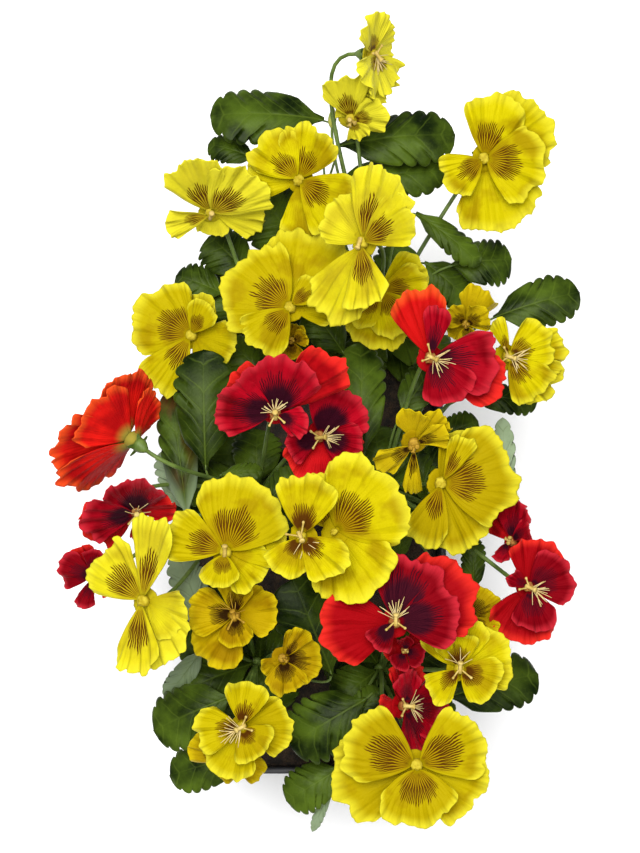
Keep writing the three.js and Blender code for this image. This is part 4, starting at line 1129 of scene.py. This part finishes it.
def ring_leaf(piece, key, ring, order):
    number = list(PLANTS).index(key)
    rules = RINGS[ring]
    seed = 31 * ring + 7 * number + order
    turn = rules["turn"] + 17 * number + 360 / rules["leaves"] * order + 9 * draw(seed)
    angle = math.radians(turn)
    x, y = PLANTS[key]
    outward = math.cos(angle) * math.copysign(1, x) > 0.3
    reach = rules["outward" if outward else "inward"] * (1 + 0.1 * draw(seed + 0.3))
    side = Vector((math.cos(angle), math.sin(angle), 0))
    base = Vector((x, y, rules["foot"])) + side * rules["base"]
    tip = Vector((x, y, rules["tip"] + 5 * draw(seed + 0.6))) + side * reach
    leaf(piece, base, tip, rules["width"], rules["arch"], 300 + seed)


print("ring leaves:", len(PLANTS) * sum(ring["leaves"] for ring in RINGS))

# %% Make the leafy stems
BUD_BASE, BUD_TIP = Vector((10, 243, 256)), Vector((11, 254, 264))
BUD_PROFILE = [(0, 1.0), (0.7, 0.97), (1.6, 0.86), (2.6, 0.62), (3.0, 0.42), (2.7, 0.2),
               (1.4, 0.02), (0, -0.06)]
BUD_FINISH = mottled("closed bud", (0.20, 0.27, 0.05), (0.45, 0.42, 0.06),
                     200.0, 900.0, 0.0003, 0.5)
# Height and radius of the main stem, from inside the soil to its top.
MAIN_STEM = ((120, 4.6), (150, 4.4), (170, 4.0), (182, 3.2), (187, 1.4))


def make_bud(piece):
    """The closed bud, and the line of its stalk."""
    along = BUD_TIP - BUD_BASE
    turn = Vector((0, 0, 1)).rotation_difference(along).to_matrix().to_4x4()
    profile = [(r, h * along.length) for r, h in BUD_PROFILE]
    turned(piece, profile, 12, BUD_FINISH, Matrix.Translation(BUD_BASE) @ turn)
    root = stem_root("b", BUD_BASE, LOWEST_ROOT + 15)
    rise = rising(root, BUD_BASE, share=0.3, climb=0.4)
    ends = (root, rise, BUD_BASE - along * 2, BUD_BASE + along * 0.2)
    return curve(ends, 14, LEAF_STALK_RADIUS)


def make_plant(key):
    piece = Piece("leaf")
    x, y = PLANTS[key]
    lines = [[(Vector((x, y, z)), r) for z, r in MAIN_STEM]]
    blooms = [(number, row) for number, row in enumerate(BLOOMS) if row[1] == key]
    for order, (number, row) in enumerate(blooms):
        lines.append(flower_stem(row, order))
        size = min(1.0, 0.45 + max(petal[1] for petal in row[6]) / 70)
        calyx(piece, bloom_place(Vector(row[2]), row[3]), size, 700 + number)
    stalks = []
    own = [(number, row) for number, row in enumerate(LEAVES) if row[0] == key]
    for order, (number, (_, base, tip, width)) in enumerate(own):
        base, tip = Vector(base), Vector(tip)
        stalks.append(leaf_stalk(key, base, tip, order))
        leaf(piece, base, tip, width, LEAF_ARCH, 100 + number,
             PALE_LEAVES.get(number, 0.0), DARK_LEAVES.get(number, 1.0))
    for ring, rules in enumerate(RINGS):
        for order in range(rules["leaves"]):
            ring_leaf(piece, key, ring, order)
    if key == "b":
        stalks.append(make_bud(piece))
    tubes(piece, lines, 10, STEM)
    tubes(piece, stalks, 7, STEM)
    return piece.finish("leaves_and_stems_" + key, "foliage", "leafy_stems_" + key)


plants = [make_plant(key) for key in PLANTS]
print("plants:", len(plants), "faces:", sum(len(piece.data.polygons) for piece in plants))

# %% [markdown]
# ## The trough and the soil
# The trough is moulded plastic: thin walls that taper towards the base, rounded corners
# and a narrow rim. Its wall is a stack of rounded rectangles, one for each height, laid
# from the middle of the underside up the outside, over the rim and down the inside.


# %% Stacked outlines
def outline(inset, height, per_corner):
    """Points of a rounded rectangle, drawn in by inset, and narrower towards the base."""
    inset = inset + TAPER * (1 - height / HEIGHT)
    width, length = RIM_WIDTH / 2 - inset, RIM_LENGTH / 2 - inset
    radius = max(1.0, CORNER_RADIUS - inset * 0.6)
    points = []
    for quarter, (sx, sy) in enumerate(((1, 1), (-1, 1), (-1, -1), (1, -1))):
        for i in range(per_corner + 1):
            turn = math.radians(90 * quarter + 90 * i / per_corner)
            points.append(Vector((sx * (width - radius) + radius * math.cos(turn),
                                  sy * (length - radius) + radius * math.sin(turn), height)))
    return points


def stacked(piece, rings, finish):
    """Closes a stack of rings of equal count, first and last with a flat face."""
    count = len(rings[0])
    faces = [list(reversed(range(count)))]
    for level in range(len(rings) - 1):
        for i in range(count):
            j = (i + 1) % count
            low, high = level * count, (level + 1) * count
            faces.append([low + i, low + j, high + j, high + i])
    faces.append([(len(rings) - 1) * count + i for i in range(count)])
    piece.add([point for ring in rings for point in ring], faces, finish)


# Inset from the rim's outside, and height, along the wall's section.
WALL_SECTION = [
    (5.0, 0.0), (3.4, 0.4), (2.4, 1.4), (2.0, 3.0), (2.0, 40), (2.0, 100), (2.0, 150),
    (2.0, 153.6), (0.6, 154.0), (0.1, 154.8), (0.0, 156.0), (0.0, 158.4), (0.4, 159.5),
    (1.4, 160.0), (3.2, 160.0), (4.1, 159.5), (4.4, 158.4), (4.4, 140), (4.4, 60),
    (4.4, 5.0), (5.2, 3.6), (7.0, 3.0),
]
planter_parts = Piece("trough")
stacked(planter_parts, [outline(inset, height, 10) for inset, height in WALL_SECTION], PLASTIC)
planter = planter_parts.finish("trough", "planter_plastic", "planter")
print("trough faces:", len(planter.data.polygons))

# %% [markdown]
# Four drain holes go through the trough's floor. They are cut with a Boolean modifier,
# which is applied by reading the evaluated mesh back.

# %% Drain holes
DRAIN_RADIUS = 5
DRILL = [(0, 8), (DRAIN_RADIUS, 8), (DRAIN_RADIUS, -2), (0, -2)]
drill = Piece("trough")
for x, y in DRAIN_SPOTS:
    turned(drill, DRILL, 24, PLASTIC, Matrix.Translation(Vector((x, y, 0))))
cutter = in_scene("drills", drill.mesh("drills"))
cut = planter.modifiers.new("drain holes", "BOOLEAN")
cut.operation = "DIFFERENCE"
cut.solver = "EXACT"
cut.object = cutter
drilled = read_back(planter)
planter.modifiers.remove(cut)
planter.data = drilled
bpy.data.objects.remove(cutter)
print("trough faces with drain holes:", len(planter.data.polygons))

# %% [markdown]
# The soil fills the trough to a finger's width under the rim. Its surface is a set of
# rings that shrink to the middle, pushed up and down by noise. A second node tree strews
# crumbs over it: points on the faces, a small rough grain on each, every grain real.

# %% Soil
SOIL_INSET = 4.9
SOIL_RINGS = 34
SOIL_EDGE = 0.97
COARSE_LUMPS, FINE_LUMPS = 2.0, 1.1


def soil_rings():
    """The sides, then the top from its edge to its middle, with flatter lumps at the edge."""
    rings = [outline(SOIL_INSET, height, 12) for height in (3.6, 60, 120, 143)]
    for share in [1 - i / SOIL_RINGS for i in range(SOIL_RINGS)]:
        ring = []
        for point in outline(SOIL_INSET, SOIL_TOP, 12):
            x, y = point.x * share, point.y * share
            lumps = rough(x * 0.09, y * 0.09, 1) * COARSE_LUMPS
            lumps += rough(x * 0.4, y * 0.4, 5) * FINE_LUMPS
            ring.append(Vector((x, y, SOIL_TOP - 0.6 + lumps * (0.4 + 0.6 * (share < SOIL_EDGE)))))
        rings.append(ring)
    return rings


soil_parts = Piece("soil")
stacked(soil_parts, soil_rings(), SOIL)
soil = soil_parts.finish("potting_soil", "soil", "soil")
print("soil faces:", len(soil.data.polygons))

# %% Crumb tree
CRUMBS_PER_SQUARE_METRE = 42000.0
CRUMB_RADIUS = 1.1
CRUMBS_ABOVE = SOIL_TOP - 2.5
STREW_SEED, TURN_SEED, GROW_SEED = 12, 4, 9


def crumb_tree():
    tree, inputs = new_tree("strewn crumbs", ("Crumbs per square metre", "Float"),
                            ("Crumb radius", "Float"), ("Finish", "Material"))
    node = tree.nodes.new
    start, end = node("NodeGroupInput"), node("NodeGroupOutput")
    strew, grain = node("GeometryNodeDistributePointsOnFaces"), node("GeometryNodeMeshIcoSphere")
    stand, real = node("GeometryNodeInstanceOnPoints"), node("GeometryNodeRealizeInstances")
    dress, place = node("GeometryNodeSetMaterial"), node("GeometryNodeInputPosition")
    height, above = node("ShaderNodeSeparateXYZ"), node("FunctionNodeCompare")
    turn, grow = node("FunctionNodeRandomValue"), node("FunctionNodeRandomValue")
    above.operation = "GREATER_THAN"
    turn.data_type = grow.data_type = "FLOAT_VECTOR"
    for target, inlet, value in (
            (above, "B", CRUMBS_ABOVE * MM), (strew, "Seed", STREW_SEED),
            (grain, "Subdivisions", 1), (turn, "Max", (6.28, 6.28, 6.28)),
            (turn, "Seed", TURN_SEED), (grow, "Min", (0.4, 0.4, 0.3)),
            (grow, "Max", (1.5, 1.3, 0.9)), (grow, "Seed", GROW_SEED)):
        target.inputs[inlet].default_value = value
    link_all(tree, [
        (start, "Geometry", strew, "Mesh"), (place, 0, height, 0), (height, "Z", above, "A"),
        (above, 0, strew, "Selection"), (start, "Crumbs per square metre", strew, "Density"),
        (start, "Crumb radius", grain, "Radius"), (strew, "Points", stand, "Points"),
        (grain, "Mesh", stand, "Instance"), (turn, "Value", stand, "Rotation"),
        (grow, "Value", stand, "Scale"), (stand, "Instances", real, "Geometry"),
        (real, "Geometry", dress, "Geometry"), (start, "Finish", dress, "Material"),
        (dress, "Geometry", end, "Geometry"),
    ])
    return tree, inputs


CRUMBS, CRUMB_INPUTS = crumb_tree()
crumb_values = (CRUMBS_PER_SQUARE_METRE, CRUMB_RADIUS * MM, CRUMB)
crumbs = in_scene("soil_crumbs", run_tree(CRUMBS, CRUMB_INPUTS, crumb_values, soil.data))
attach(crumbs, "root")
print("crumb faces:", len(crumbs.data.polygons))

# %% [markdown]
# ## Studio
# The photograph has a white ground and very soft light from all round, with a little
# more from above on the left. The colours are shown as they are, without a film look.
# The floor and the lamps are placed in metres, and the lamps' power is in watts.

# %% Floor, light and view
HALF_FLOOR, FLOOR_HEIGHT = 3.0, -0.001
WORLD_STRENGTH = 0.49
LAMP_AIM = Vector((0, 0, 0.2))
# Place, width and power of each lamp.
LAMPS = {"key light": ((-0.22, 0.10, 2.15), 1.1, 54), "fill light": ((0.3, -0.9, 1.9), 1.8, 25)}

floor_mesh = bpy.data.meshes.new("studio_floor")
ends = ((-1, -1), (1, -1), (1, 1), (-1, 1))
floor_mesh.from_pydata([(HALF_FLOOR * x, HALF_FLOOR * y, FLOOR_HEIGHT) for x, y in ends], [],
                       [(0, 1, 2, 3)])
floor_mesh.materials.append(mottled("studio floor", (0.93, 0.93, 0.93), (0.95, 0.95, 0.95),
                                    3.0, 60.0, 0.0001, 0.9))
in_scene("studio_floor", floor_mesh)

world = bpy.data.worlds.new("studio")
world.use_nodes = True
background = world.node_tree.nodes["Background"]
background.inputs["Color"].default_value = (1, 1, 1, 1)
background.inputs["Strength"].default_value = WORLD_STRENGTH
bpy.context.scene.world = world

for name, (place, width, power) in LAMPS.items():
    lamp = bpy.data.lights.new(name, "AREA")
    lamp.shape = "SQUARE"
    lamp.size = width
    lamp.energy = power
    light = in_scene(name, lamp)
    light.location = place
    light.rotation_euler = (LAMP_AIM - Vector(place)).to_track_quat("-Z", "Y").to_euler()
bpy.context.scene.view_settings.view_transform = "Standard"
